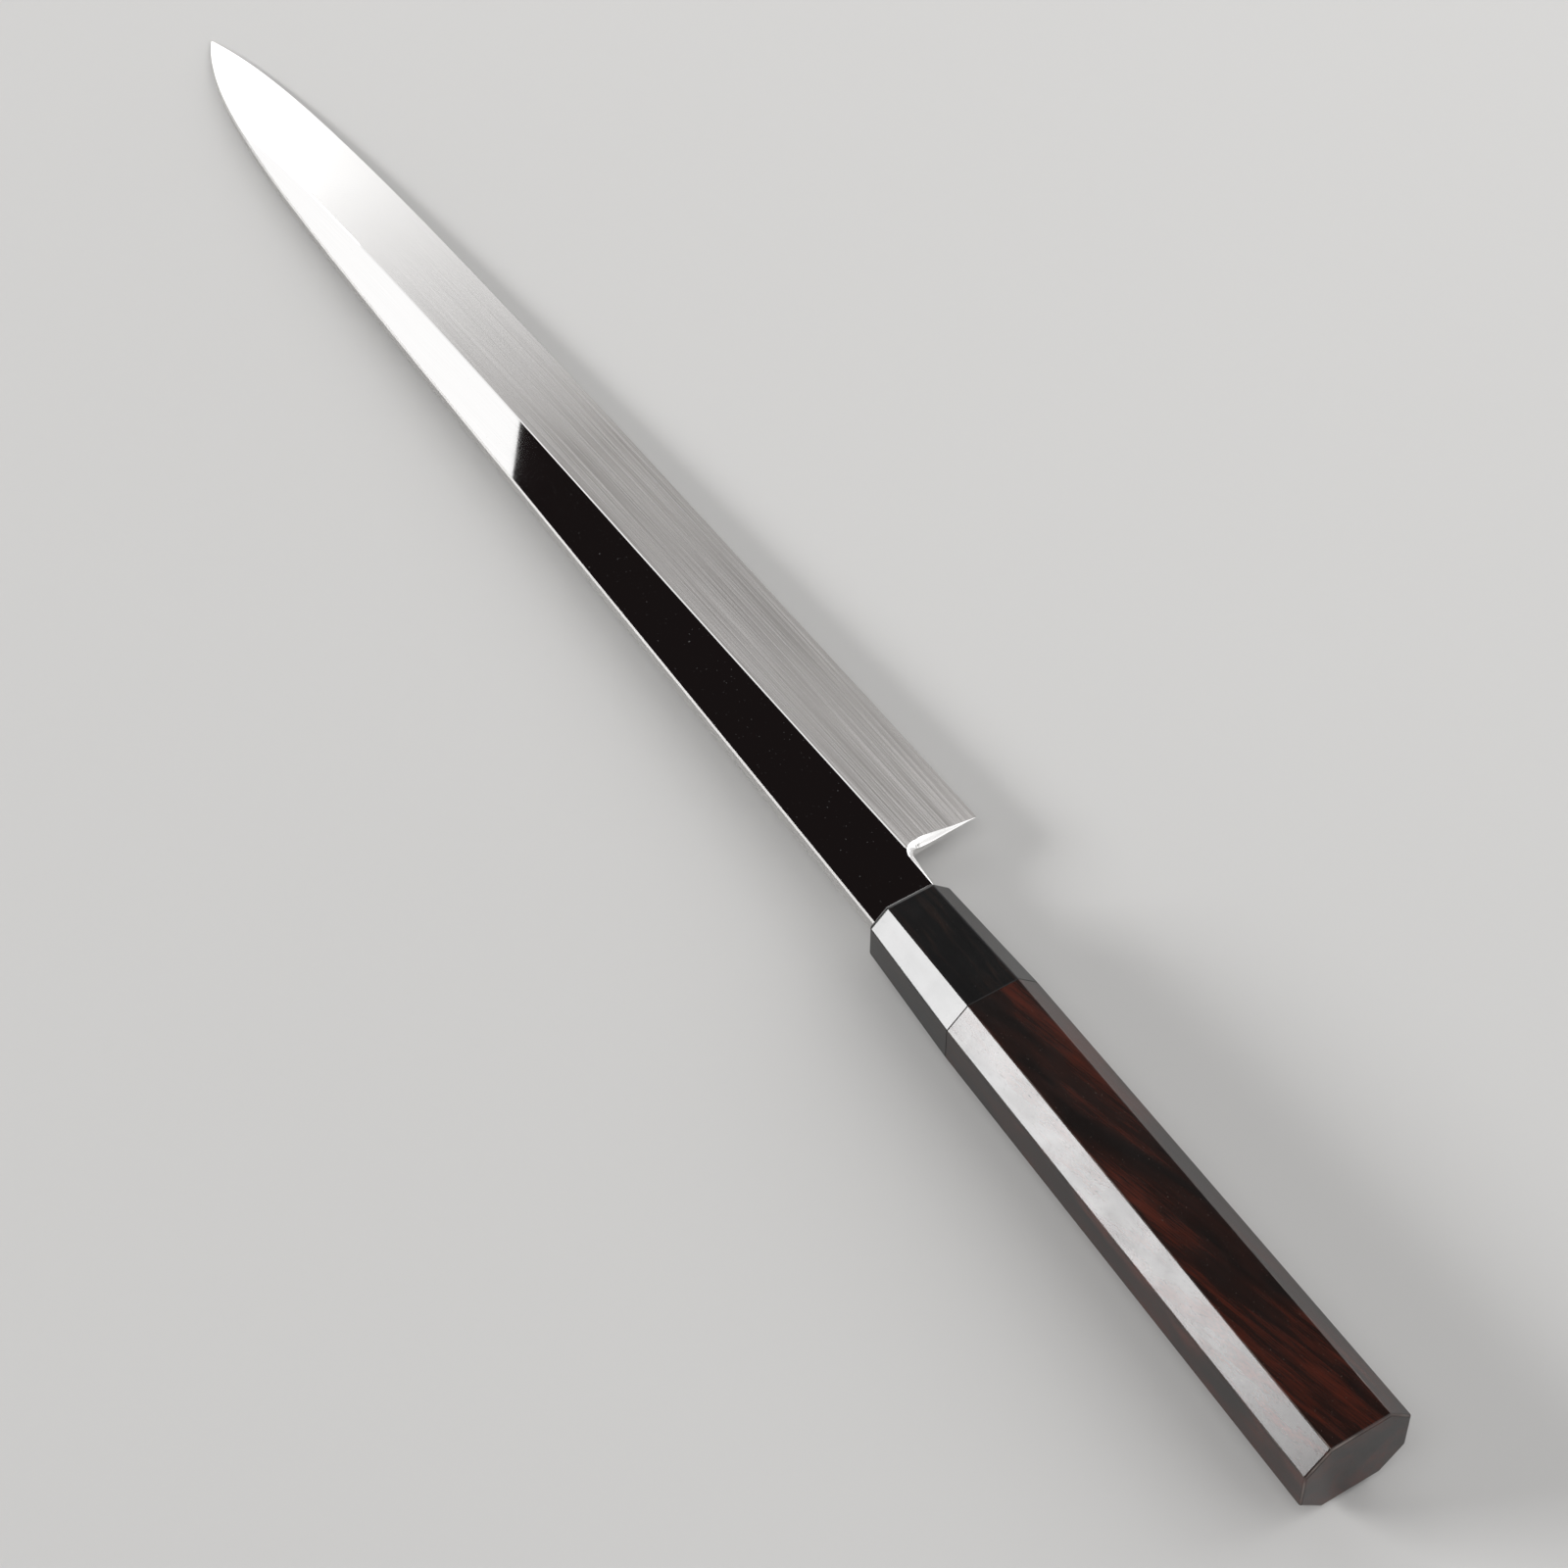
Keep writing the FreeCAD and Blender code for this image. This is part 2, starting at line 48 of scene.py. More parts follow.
Colour = tuple[float, float, float, float]

# Millimetres in a metre
MM_PER_M = 1000.0
# Corners nearer than this, in millimetres, are one corner
WELD = 1e-4
# Facets of an octagon, points on each rounded arris, and columns from one facet's middle to the next
FACETS = 8
ARRIS_STEPS = 5
SECTOR = ARRIS_STEPS + 3
# Share of half a facet from its arris to the point that keeps its shading flat
FACET_BORDER_SHARE = 0.06
# Steps of a curve that is read off as a table
CURVE_STEPS = 6000
# Columns over the blade's spine, its flat face, the bevel next to the shinogi, and its back
SPINE_COLUMNS = 4
FLAT_COLUMNS = 7
LOW_COLUMNS = 5
BACK_COLUMNS = 10
# Turn of a brushed highlight that lies across the lines, as a share of a full turn
ACROSS_LINES = 0.25
# Steps round the quarter circle of the choil's corner; its easing has half as many
EASE_STEPS = 64


class Steel(IntEnum):
    """Ground and polished faces of the blade, in the order of its material slots."""

    MIRROR = 0
    BEVEL = 1
    POLISH = 2
    HOLLOW = 3
    RIM = 4
    TANG = 5
    SPINE = 6


@dataclass(frozen=True)
class Lay:
    """How the knife lies on the table, on the handle's seam and the tip; sizes in millimetres.

    Attributes:
        drop: how far the seam stands out below the blade's back.
        span: distance from the seam to the tip.
        shift: move after the turn about Y that lays both on the table.
    """

    drop: float = 7.55
    span: float = 340.2
    shift: tuple[float, float, float] = (-228.775831, 7.503558, 12.015795)

    def turn(self, vectors: Array) -> Array:
        """Turns vectors about Y by the angle whose tangent is drop over span.

        Args:
            vectors: any number x 3, in the knife's axes.

        Returns:
            The vectors in the frame's axes.
        """
        tilt = math.atan(self.drop / self.span)
        c, s = math.cos(tilt), math.sin(tilt)
        return np.asarray(vectors, float) @ np.array([[c, 0, s], [0, 1, 0], [-s, 0, c]]).T

    def place(self, points: Array) -> Array:
        """Points of the knife in millimetres, placed in the frame in metres."""
        return (self.turn(points) + np.array(self.shift)) / MM_PER_M


@dataclass
class Sheet:
    """A grid of points that becomes part of a piece's surface.

    Attributes:
        points: rows x columns x 3, millimetres in the knife's axes.
        finishes: material slot of each column of faces.
        chart: rows x columns x 2, the surface's own map in metres.
        wear_and_highlight: rows x columns, 1 where hands and cloths rub the surface, and where a highlight is
            painted on arrises and edges.
    """

    points: Array
    finishes: Array
    chart: Array
    wear_and_highlight: Array

    def quads(self) -> Array:
        """Numbers the corners of the grid's faces.

        Returns:
            Faces x 4, row by row.
        """
        rows, columns = self.wear_and_highlight.shape
        index = np.arange(rows * columns).reshape(rows, columns)
        corners = [index[:-1, :-1], index[1:, :-1], index[1:, 1:], index[:-1, 1:]]
        return np.stack(corners, axis=-1).reshape(-1, 4)

    def face_finishes(self) -> Array:
        """Material slot of each face of the grid, row by row."""
        return np.tile(self.finishes, len(self.wear_and_highlight) - 1)


def build_piece(name: str, sheets: Sequence[Sheet], lay: Lay, crease: float) -> bpy.types.Object:
    """Joins sheets into one closed mesh that faces outwards.

    Corners that meet become one vertex. A quad that loses one corner that way becomes a triangle, and
    one that loses more is dropped.

    Args:
        name: name of the new object.
        sheets: grids whose borders meet.
        lay: where the knife's axes are in the frame.
        crease: edges that turn by more than this angle, in radians, stay sharp.

    Returns:
        The new object, at the origin.
    """
    starts = np.cumsum([0] + [sheet.wear_and_highlight.size for sheet in sheets])
    quads = np.concatenate([sheet.quads() + start for sheet, start in zip(sheets, starts)])
    finishes = np.concatenate([sheet.face_finishes() for sheet in sheets])
    points = np.concatenate([sheet.points.reshape(-1, 3) for sheet in sheets])
    charts = np.concatenate([sheet.chart.reshape(-1, 2) for sheet in sheets])
    wear_and_highlight = np.concatenate([sheet.wear_and_highlight.reshape(-1) for sheet in sheets])
    keys = np.round(points / WELD).astype(np.int64)
    _, first, label = np.unique(keys, axis=0, return_index=True, return_inverse=True)
    faces = label.reshape(-1)[quads]
    alike = faces == np.roll(faces, -1, axis=1)
    whole, cut = alike.sum(axis=1) == 0, alike.sum(axis=1) == 1
    kept = ~alike[cut]
    corners = np.concatenate([quads[whole].reshape(-1), quads[cut][kept]])
    polygons = faces[whole].tolist() + faces[cut][kept].reshape(-1, 3).tolist()
    mesh = bpy.data.meshes.new(name)
    mesh.from_pydata(lay.place(points[first]).tolist(), [], polygons)
    slots = np.concatenate([finishes[whole], finishes[cut]]).astype(np.int32)
    mesh.polygons.foreach_set("material_index", slots)
    chart = mesh.uv_layers.new(name="chart")
    chart.data.foreach_set("uv", charts[corners].reshape(-1).astype(np.float32))
    # Mask of wear and of painted highlight on arrises and edges, which the finishes read
    rubbed_and_highlight = mesh.attributes.new("wear_and_highlight", "FLOAT", "POINT")
    rubbed_and_highlight.data.foreach_set("value", wear_and_highlight[first].astype(np.float32))
    work = bmesh.new()
    work.from_mesh(mesh)
    bmesh.ops.recalc_face_normals(work, faces=work.faces)
    work.to_mesh(mesh)
    work.free()
    mesh.shade_smooth()
    mesh.set_sharp_from_angle(angle=crease)
    piece = bpy.data.objects.new(name, mesh)
    bpy.context.scene.collection.objects.link(piece)
    return piece


def bezier(poles: Array, share: Array) -> Array:
    """Points of a cubic curve: poles weighted by (1-t)^3, 3t(1-t)^2, 3t^2(1-t) and t^3 at each share t.

    Args:
        poles: the curve's four poles.
        share: the shares t.

    Returns:
        A point for each share.
    """
    t = np.asarray(share)[:, None]
    weights = ((1 - t) ** 3, 3 * t * (1 - t) ** 2, 3 * t ** 2 * (1 - t), t ** 3)
    return sum(weight * pole for weight, pole in zip(weights, poles))


def ramp(value: Array, low: float, high: float) -> Array:
    """Smooth step from 0 at low to 1 at high: 3s^2 - 2s^3 of the clipped share s."""
    share = np.clip((value - low) / (high - low), 0, 1)
    return share * share * (3 - 2 * share)


def between(start: Array, end: Array, steps: int) -> Array:
    """Evenly spaced columns from start to end, both included: rows x (steps + 1)."""
    share = np.linspace(0, 1, steps + 1)
    return np.asarray(start)[:, None] * (1 - share) + np.asarray(end)[:, None] * share


def eased_octagon(depth: Array, thickness: Array, corner: Array, inset: Array, ease: Array) -> Array:
    """Rings with eight flat facets and rounded arrises.

    Facet k looks along 45k degrees from +Y towards +Z. It lies half the depth, half the thickness or,
    on a planed corner, (depth/2 + thickness/2 - corner) / sqrt 2 from the axis, less the inset. An
    arris is an arc of the ease about the crossing of its two facets moved in by the ease. Each facet
    has one more point in its middle and one close to each arris, which keep its shading flat.

    Args:
        depth: size along Y at each station.
        thickness: size along Z at each station.
        corner: leg of the planed-off corner at each station.
        inset: how far the whole ring is drawn in at each station.
        ease: radius of the arrises at each station.

    Returns:
        Stations x columns x 2, Y and Z, with the first column repeated at the end.
    """
    diagonal = (depth / 2 + thickness / 2 - corner) / math.sqrt(2)
    flats = np.stack([depth / 2, diagonal, thickness / 2, diagonal] * 2, axis=-1) - (inset + ease)[:, None]
    facing = np.arange(FACETS) * math.pi / 4
    normals = np.stack([np.cos(facing), np.sin(facing)], axis=-1)
    after, cosine = np.roll(flats, -1, axis=1), math.sqrt(0.5)
    centres = (flats - after * cosine)[..., None] * normals
    centres = centres + (after - flats * cosine)[..., None] * np.roll(normals, -1, axis=0)
    centres = centres / (1 - cosine ** 2)
    swing = facing[:, None] + np.linspace(0, math.pi / 4, ARRIS_STEPS)
    arcs = np.stack([np.cos(swing), np.sin(swing)], axis=-1) * ease[:, None, None, None]
    arcs = arcs + centres[:, :, None]
    middles = (np.roll(arcs[:, :, -1], 1, axis=1) + arcs[:, :, 0]) / 2
    before = arcs[:, :, 0] + (middles - arcs[:, :, 0]) * FACET_BORDER_SHARE
    beyond = arcs[:, :, -1] + (np.roll(middles, -1, axis=1) - arcs[:, :, -1]) * FACET_BORDER_SHARE
    rings = np.concatenate([np.stack([middles, before], axis=2), arcs, beyond[:, :, None]], axis=2)
    rings = rings.reshape(len(depth), -1, 2)
    return np.concatenate([rings, rings[:, :1]], axis=1)


def round_ring(radius: float) -> Array:
    """A circle about the axis with the octagon's columns: radius times cosine and sine of even angles."""
    angle = np.linspace(0, 2 * math.pi, FACETS * SECTOR + 1)
    return radius * np.stack([np.cos(angle), np.sin(angle)], axis=-1)


def oblong_ring(rise: float, drop: float, half: float) -> Array:
    """A rectangle with the octagon's columns: straight between corners at the planed facets' middles.

    Args:
        rise: distance from the axis to its side towards +Y.
        drop: distance to its side towards -Y.
        half: distance to each side along Z.

    Returns:
        Columns x 2, Y and Z.
    """
    middle = (rise - drop) / 2
    y = [rise, rise, middle, -drop, -drop, -drop, middle, rise, rise]
    z = [0, half, half, half, 0, -half, -half, -half, 0]
    columns, knots = np.arange(FACETS * SECTOR + 1), np.arange(FACETS + 1) * SECTOR
    return np.stack([np.interp(columns, knots, y), np.interp(columns, knots, z)], axis=-1)


def ring_sheet(stations: Array, rings: Array, ring_wear_and_highlight: Array, arris_wear_and_highlight: Array) -> Sheet:
    """A surface through rings across the axis.

    Args:
        stations: X of each ring, in millimetres.
        rings: stations x columns x 2, Y and Z.
        ring_wear_and_highlight: wear and painted highlight of each ring as a whole.
        arris_wear_and_highlight: wear and painted highlight of each ring's arrises along their middles.

    Returns:
        The sheet.
    """
    rows, columns = rings.shape[:2]
    points = np.concatenate([np.broadcast_to(stations[:, None, None], (rows, columns, 1)), rings], axis=-1)
    nearness = 1 - np.abs(np.linspace(-1, 1, ARRIS_STEPS))
    arris = np.append(np.tile(np.concatenate([[0.0, 0.0], nearness, [0.0]]), FACETS), 0.0)
    wear_and_highlight = np.maximum(arris * arris_wear_and_highlight[:, None], ring_wear_and_highlight[:, None])
    around = np.cumsum(np.linalg.norm(np.diff(rings, axis=1, prepend=rings[:, :1]), axis=-1), axis=1)
    chart = np.stack([np.broadcast_to(stations[:, None], (rows, columns)), around], axis=-1) / MM_PER_M
    return Sheet(points, np.zeros(columns - 1, int), chart, wear_and_highlight)


class Shade:
    """Adds nodes to a tree, and links or sets their sockets by name."""

    def __init__(self, tree: bpy.types.NodeTree) -> None:
        """Keeps the tree that the nodes go into."""
        self.tree = tree

    def add(self, kind: str, inputs: dict[Any, Any] | None = None, **settings: Any) -> bpy.types.Node:
        """Adds a node.

        Args:
            kind: Blender's name for the node type.
            inputs: input name or number to a value, or to an output socket to link from.
            settings: properties of the node itself.

        Returns:
            The new node.
        """
        node = self.tree.nodes.new(kind)
        for name, value in settings.items():
            setattr(node, name, value)
        for name, value in (inputs or {}).items():
            if isinstance(value, bpy.types.NodeSocket):
                self.tree.links.new(value, node.inputs[name])
            else:
                node.inputs[name].default_value = value
        return node

    def noise(self, vector: Any, scale: float, detail: float = 2.0, distortion: float = 0.0) -> Any:
        """A noise value from about 0 to 1 at each point."""
        sockets = {"Vector": vector, "Scale": scale, "Detail": detail, "Distortion": distortion}
        return self.add("ShaderNodeTexNoise", sockets).outputs["Fac"]

    def stretch(self, vector: Any, scale: Sequence[float], turn: Sequence[float] = (0, 0, 0)) -> Any:
        """The vector turned and then scaled along each axis."""
        turned = self.add("ShaderNodeMapping", {"Vector": vector, "Rotation": turn}).outputs[0]
        return self.add("ShaderNodeMapping", {"Vector": turned, "Scale": scale}).outputs[0]

    def spread(self, value: Any, low: float, high: float, start: float = 0.0, end: float = 1.0) -> Any:
        """The value carried from low..high to start..end and held at both ends."""
        sockets = {"Value": value, "From Min": low, "From Max": high, "To Min": start, "To Max": end}
        return self.add("ShaderNodeMapRange", sockets).outputs[0]

    def math(self, operation: str, first: Any, second: Any) -> Any:
        """Two values put together by a named operation."""
        return self.add("ShaderNodeMath", {0: first, 1: second}, operation=operation).outputs[0]

    def times(self, first: Any, second: Any) -> Any:
        """The product of two values."""
        return self.math("MULTIPLY", first, second)

    def plus(self, first: Any, second: Any) -> Any:
        """The sum of two values."""
        return self.math("ADD", first, second)

    def scaled(self, vector: Any, scale: Any) -> Any:
        """The vector times one value."""
        return self.add("ShaderNodeVectorMath", {0: vector, "Scale": scale}, operation="SCALE").outputs[0]

    def mix(self, share: Any, first: Any, second: Any) -> Any:
        """One colour faded into another."""
        return self.add("ShaderNodeMix", {0: share, 6: first, 7: second}, data_type="RGBA").outputs[2]

    def bump(self, height: Any, depth: float) -> Any:
        """A normal tipped by a height of at most the given depth in metres."""
        return self.add("ShaderNodeBump", {"Height": height, "Distance": depth, "Strength": 1.0}).outputs[0]


class Effect:
    """A shader node group with named sockets, built once and placed in the materials that use it."""

    def __init__(self, name: str, inputs: dict[str, Any], outputs: Sequence[str]) -> None:
        """Makes the empty group.

        Args:
            name: name of the group.
            inputs: socket name to its starting value, or to None for a vector.
            outputs: names of the values that the group puts out.
        """
        self.group = bpy.data.node_groups.new(name, "ShaderNodeTree")
        for socket, value in inputs.items():
            kind = "NodeSocketVector" if value is None else "NodeSocketFloat"
            made = self.group.interface.new_socket(name=socket, in_out="INPUT", socket_type=kind)
            if value is not None:
                made.default_value = value
        for socket in outputs:
            self.group.interface.new_socket(name=socket, in_out="OUTPUT", socket_type="NodeSocketFloat")
        self.shade = Shade(self.group)
        self.inputs = self.shade.add("NodeGroupInput").outputs
        self.outputs = self.shade.add("NodeGroupOutput").inputs

    def put_out(self, name: str, value: Any) -> None:
        """Links a value to one of the group's outputs."""
        self.group.links.new(value, self.outputs[name])

    def use(self, shade: Shade, inputs: dict[str, Any]) -> Any:
        """Places the group in a material with its own values, and returns its outputs."""
        return shade.add("ShaderNodeGroup", inputs, node_tree=self.group).outputs


@dataclass(frozen=True)
class Streak:
    """Noise drawn out along X, with the part of its range that counts carried to 0..1.

    Attributes:
        along: waves per metre along X.
        across: waves per metre across it.
        detail: how many finer noises are added.
        wander: how far the noise is bent.
        low: noise that becomes 0.
        high: noise that becomes 1.
    """

    along: float
    across: float
    detail: float
    wander: float = 0.0
    low: float = 0.0
    high: float = 1.0

    def value(self, shade: Shade, place: Any, slant: Sequence[float] = (0, 0, 0)) -> Any:
        """Adds the noise to a tree.

        Args:
            shade: the tree.
            place: the coordinates that it reads.
            slant: turn of the streaks about each axis, in radians.

        Returns:
            The value's socket.
        """
        drawn = shade.stretch(place, (self.along, self.across, self.across), slant)
        return shade.spread(shade.noise(drawn, 1.0, self.detail, self.wander), self.low, self.high)


class Effects:
    """The surface effects that several finishes share."""

    def __init__(self) -> None:
        """Builds every group."""
        self.grinding = self.make_grinding()
        self.handling = self.make_handling()
        self.grain = self.make_grain()

    @staticmethod
    def make_grinding() -> Effect:
        """Lines left by a stone or belt: noise drawn out along the chart's first axis, fine and broad.

        Returns:
            The group.
        """
        effect = Effect("grinding_lines", {"Chart": None, "Pitch": 0.3, "Length": 60.0, "Band": 3.0},
                        ("Lines", "Bands"))
        shade, given = effect.shade, effect.inputs
        parts = shade.add("ShaderNodeSeparateXYZ", {0: given["Chart"]}).outputs
        along, across = (shade.times(part, MM_PER_M) for part in (parts[0], parts[1]))
        band_stretch, line_range, band_range = 0.4, (0.38, 0.62), (0.3, 0.7)
        run = shade.math("DIVIDE", along, given["Length"])
        fine = shade.add("ShaderNodeCombineXYZ", {0: run, 1: shade.math("DIVIDE", across, given["Pitch"])})
        broad = shade.add("ShaderNodeCombineXYZ", {
            0: shade.times(run, band_stretch), 1: shade.math("DIVIDE", across, given["Band"])})
        effect.put_out("Lines", shade.spread(shade.noise(fine.outputs[0], 1.0), *line_range))
        effect.put_out("Bands", shade.spread(shade.noise(broad.outputs[0], 1.0), *band_range))
        return effect

    @staticmethod
    def make_handling() -> Effect:
        """Smudges and dust that handling leaves: soft patches of a given size, and sparse small specks.

        Returns:
            The group.
        """
        effect = Effect("handling_marks", {"Place": None, "Size": 9.0, "Speck": 0.5}, ("Smudge", "Specks"))
        shade, given = effect.shade, effect.inputs
        smudge_range, speck_range = (0.42, 0.68), (0.74, 0.8)
        patch = shade.scaled(given["Place"], shade.math("DIVIDE", MM_PER_M, given["Size"]))
        smudge = shade.noise(patch, 1.0, detail=5.0, distortion=0.6)
        effect.put_out("Smudge", shade.spread(smudge, *smudge_range))
        dust = shade.scaled(given["Place"], shade.math("DIVIDE", MM_PER_M, given["Speck"]))
        effect.put_out("Specks", shade.spread(shade.noise(dust, 1.0, detail=1.0), *speck_range))
        return effect

    @staticmethod
    def make_grain() -> Effect:
        """Wood grain along X: a wandering figure, fine fibres, and pores as short dark dashes.

        Returns:
            The group.
        """
        figured = {"Figure": Streak(26.0, 130.0, 3.0, 0.9, 0.36, 0.66),
                   "Streaks": Streak(20.0, 520.0, 4.0, 0.4, 0.34, 0.68)}
        fine = {"Fibres": Streak(160.0, 4200.0, 2.0),
                "Pores": Streak(520.0, 7000.0, 1.0, low=0.68, high=0.76)}
        effect = Effect("wood_grain", {"Place": None, "Figure": 1.0}, (*figured, *fine))
        shade, given = effect.shade, effect.inputs
        slant = (0.0, 0.0, math.radians(-12.0))
        place = shade.scaled(given["Place"], given["Figure"])
        for name, streak in figured.items():
            effect.put_out(name, streak.value(shade, place, slant))
        for name, streak in fine.items():
            effect.put_out(name, streak.value(shade, given["Place"], slant))
        return effect


class Finish:
    """A procedural material in the making: its shader, its tree and the coordinates it reads."""

    def __init__(self, name: str) -> None:
        """Starts an empty material with one principled shader.

        Args:
            name: name of the material.
        """
        self.material = bpy.data.materials.new(name)
        self.material.use_nodes = True
        tree = self.material.node_tree
        self.shade = Shade(tree)
        self.shader = next(node for node in tree.nodes if node.type == "BSDF_PRINCIPLED")
        coordinates = self.shade.add("ShaderNodeTexCoord").outputs
        self.place, self.chart = coordinates["Object"], coordinates["UV"]

    def set(self, **sockets: Any) -> None:
        """Sets or links the shader's sockets.

        Args:
            sockets: socket name, with underscores for spaces, to a value or an output socket.
        """
        for name, value in sockets.items():
            socket = self.shader.inputs[name.replace("_", " ")]
            if isinstance(value, bpy.types.NodeSocket):
                self.material.node_tree.links.new(value, socket)
            else:
                socket.default_value = value

    def marks(self, effects: Effects, smudge: float, speck: float) -> Any:
        """Marks of handling on the surface, with the sizes of a smudge and a speck in millimetres."""
        return effects.handling.use(self.shade, {"Place": self.place, "Size": smudge, "Speck": speck})

    def wear_and_highlight(self) -> Any:
        """How far hands and cloths have rubbed the surface, and where a highlight is painted on arrises and
        edges.
        """
        return self.shade.add("ShaderNodeAttribute", attribute_name="wear_and_highlight").outputs["Fac"]


@dataclass(frozen=True)
class GroundSteel:
    """Steel with grinding or polishing lines along the blade.

    Attributes:
        name: name of the material.
        dark: colour in the troughs of the lines.
        light: colour on their crests.
        smooth: roughness on the crests.
        rough: roughness in the troughs.
        pitch: width of a fine line, in millimetres.
        length: length of a line, in millimetres.
        band: width of a broad band, in millimetres.
        brushed: how far highlights are drawn out across the lines.
        relief: depth of the lines, in metres.
        smudge: roughness that a smudge adds.
        dust: how much of the shine a speck of dust hides.
        tip: colour near the tip, where the lines are polished out, if they are; being lighter, it is also a
            painted highlight.
        polish_and_highlight: where that polish and painted highlight start and where they are complete, in
            metres from the ferrule.
        line_share: part of the pattern that is fine lines; the rest is broad bands.
        smudge_size: size of a smudge, in millimetres.
        speck_size: size of a speck of dust, in millimetres.
    """

    name: str
    dark: Colour
    light: Colour
    smooth: float
    rough: float
    pitch: float = 0.3
    length: float = 60.0
    band: float = 3.0
    brushed: float = 0.0
    relief: float = 0.0
    smudge: float = 0.01
    dust: float = 0.05
    tip: Colour | None = None
    polish_and_highlight: tuple[float, float] = (0.145, 0.25)
    line_share: float = 0.72
    smudge_size: float = 14.0
    speck_size: float = 0.6

    def material(self, effects: Effects) -> bpy.types.Material:
        """Builds the material.

        Args:
            effects: the shared effect groups.

        Returns:
            The finished material.
        """
        finish = Finish(self.name)
        shade = finish.shade
        sockets = {"Chart": finish.chart, "Pitch": self.pitch, "Length": self.length, "Band": self.band}
        lines = effects.grinding.use(shade, sockets)
        marks = finish.marks(effects, self.smudge_size, self.speck_size)
        blend = shade.plus(shade.times(lines["Lines"], self.line_share),
                           shade.times(lines["Bands"], 1.0 - self.line_share))
        colour = shade.mix(blend, self.dark, self.light)
        # Towards the tip the lines fade out, a polish, and the colour turns lighter, a painted highlight
        if self.tip:
            along = shade.add("ShaderNodeSeparateXYZ", {0: finish.chart}).outputs[0]
            nearness = shade.spread(along, *self.polish_and_highlight)
            lined = shade.math("SUBTRACT", 1.0, nearness)
            blend = shade.plus(shade.times(blend, lined), nearness)
            colour = shade.mix(nearness, colour, self.tip)
        smudged = shade.plus(shade.spread(blend, 0.0, 1.0, self.rough, self.smooth),
                             shade.times(marks["Smudge"], self.smudge))
        shine = shade.spread(marks["Specks"], 0.0, 1.0, 1.0, 1.0 - self.dust)
        finish.set(Base_Color=colour, Roughness=smudged, Metallic=shine)
        if self.brushed:
            tangent = shade.add("ShaderNodeTangent", direction_type="UV_MAP", uv_map="chart").outputs[0]
            finish.set(Anisotropic=self.brushed, Anisotropic_Rotation=ACROSS_LINES, Tangent=tangent)
        if self.relief:
            finish.set(Normal=shade.bump(blend, self.relief))
        return finish.material


@dataclass(frozen=True)
class Horn:
    """Polished black horn with faint brown streaks.

    Sizes of marks are in millimetres and the relief is in metres. A range is the part of a noise over which
    its colour comes in.
    """

    black: Colour = (0.0055, 0.0053, 0.0054, 1)
    brown: Colour = (0.02, 0.011, 0.008, 1)
    worn_and_highlight: Colour = (0.035, 0.028, 0.025, 1)
    dust: Colour = (0.09, 0.085, 0.08, 1)
    streak: Streak = Streak(60.0, 700.0, 4.0, 0.5)
    brown_range: tuple[float, float] = (0.5, 0.8)
    worn_share: float = 0.4
    dust_share: float = 0.25
    smudge_size: float = 7.0
    speck_size: float = 0.45
    roughness: tuple[float, float] = (0.17, 0.19)
    streak_roughness: float = 0.04
    relief: float = 0.000008
    sheen: float = 0.4

    def material(self, effects: Effects) -> bpy.types.Material:
        """Builds the material.

        Args:
            effects: the shared effect groups.

        Returns:
            The finished material.
        """
        finish = Finish("black_horn")
        shade = finish.shade
        streaks = self.streak.value(shade, finish.place)
        marks = finish.marks(effects, self.smudge_size, self.speck_size)
        colour = shade.mix(shade.spread(streaks, *self.brown_range), self.black, self.brown)
        colour = shade.mix(shade.times(marks["Specks"], self.dust_share), colour, self.dust)
        # Lighter along the arrises, by the mask that carries wear and painted highlight
        colour = shade.mix(shade.times(finish.wear_and_highlight(), self.worn_share), colour, self.worn_and_highlight)
        rough = shade.plus(shade.spread(marks["Smudge"], 0.0, 1.0, *self.roughness),
                           shade.times(streaks, self.streak_roughness))
        finish.set(Base_Color=colour, Roughness=rough, Normal=shade.bump(streaks, self.relief),
                   Specular_IOR_Level=self.sheen)
        return finish.material


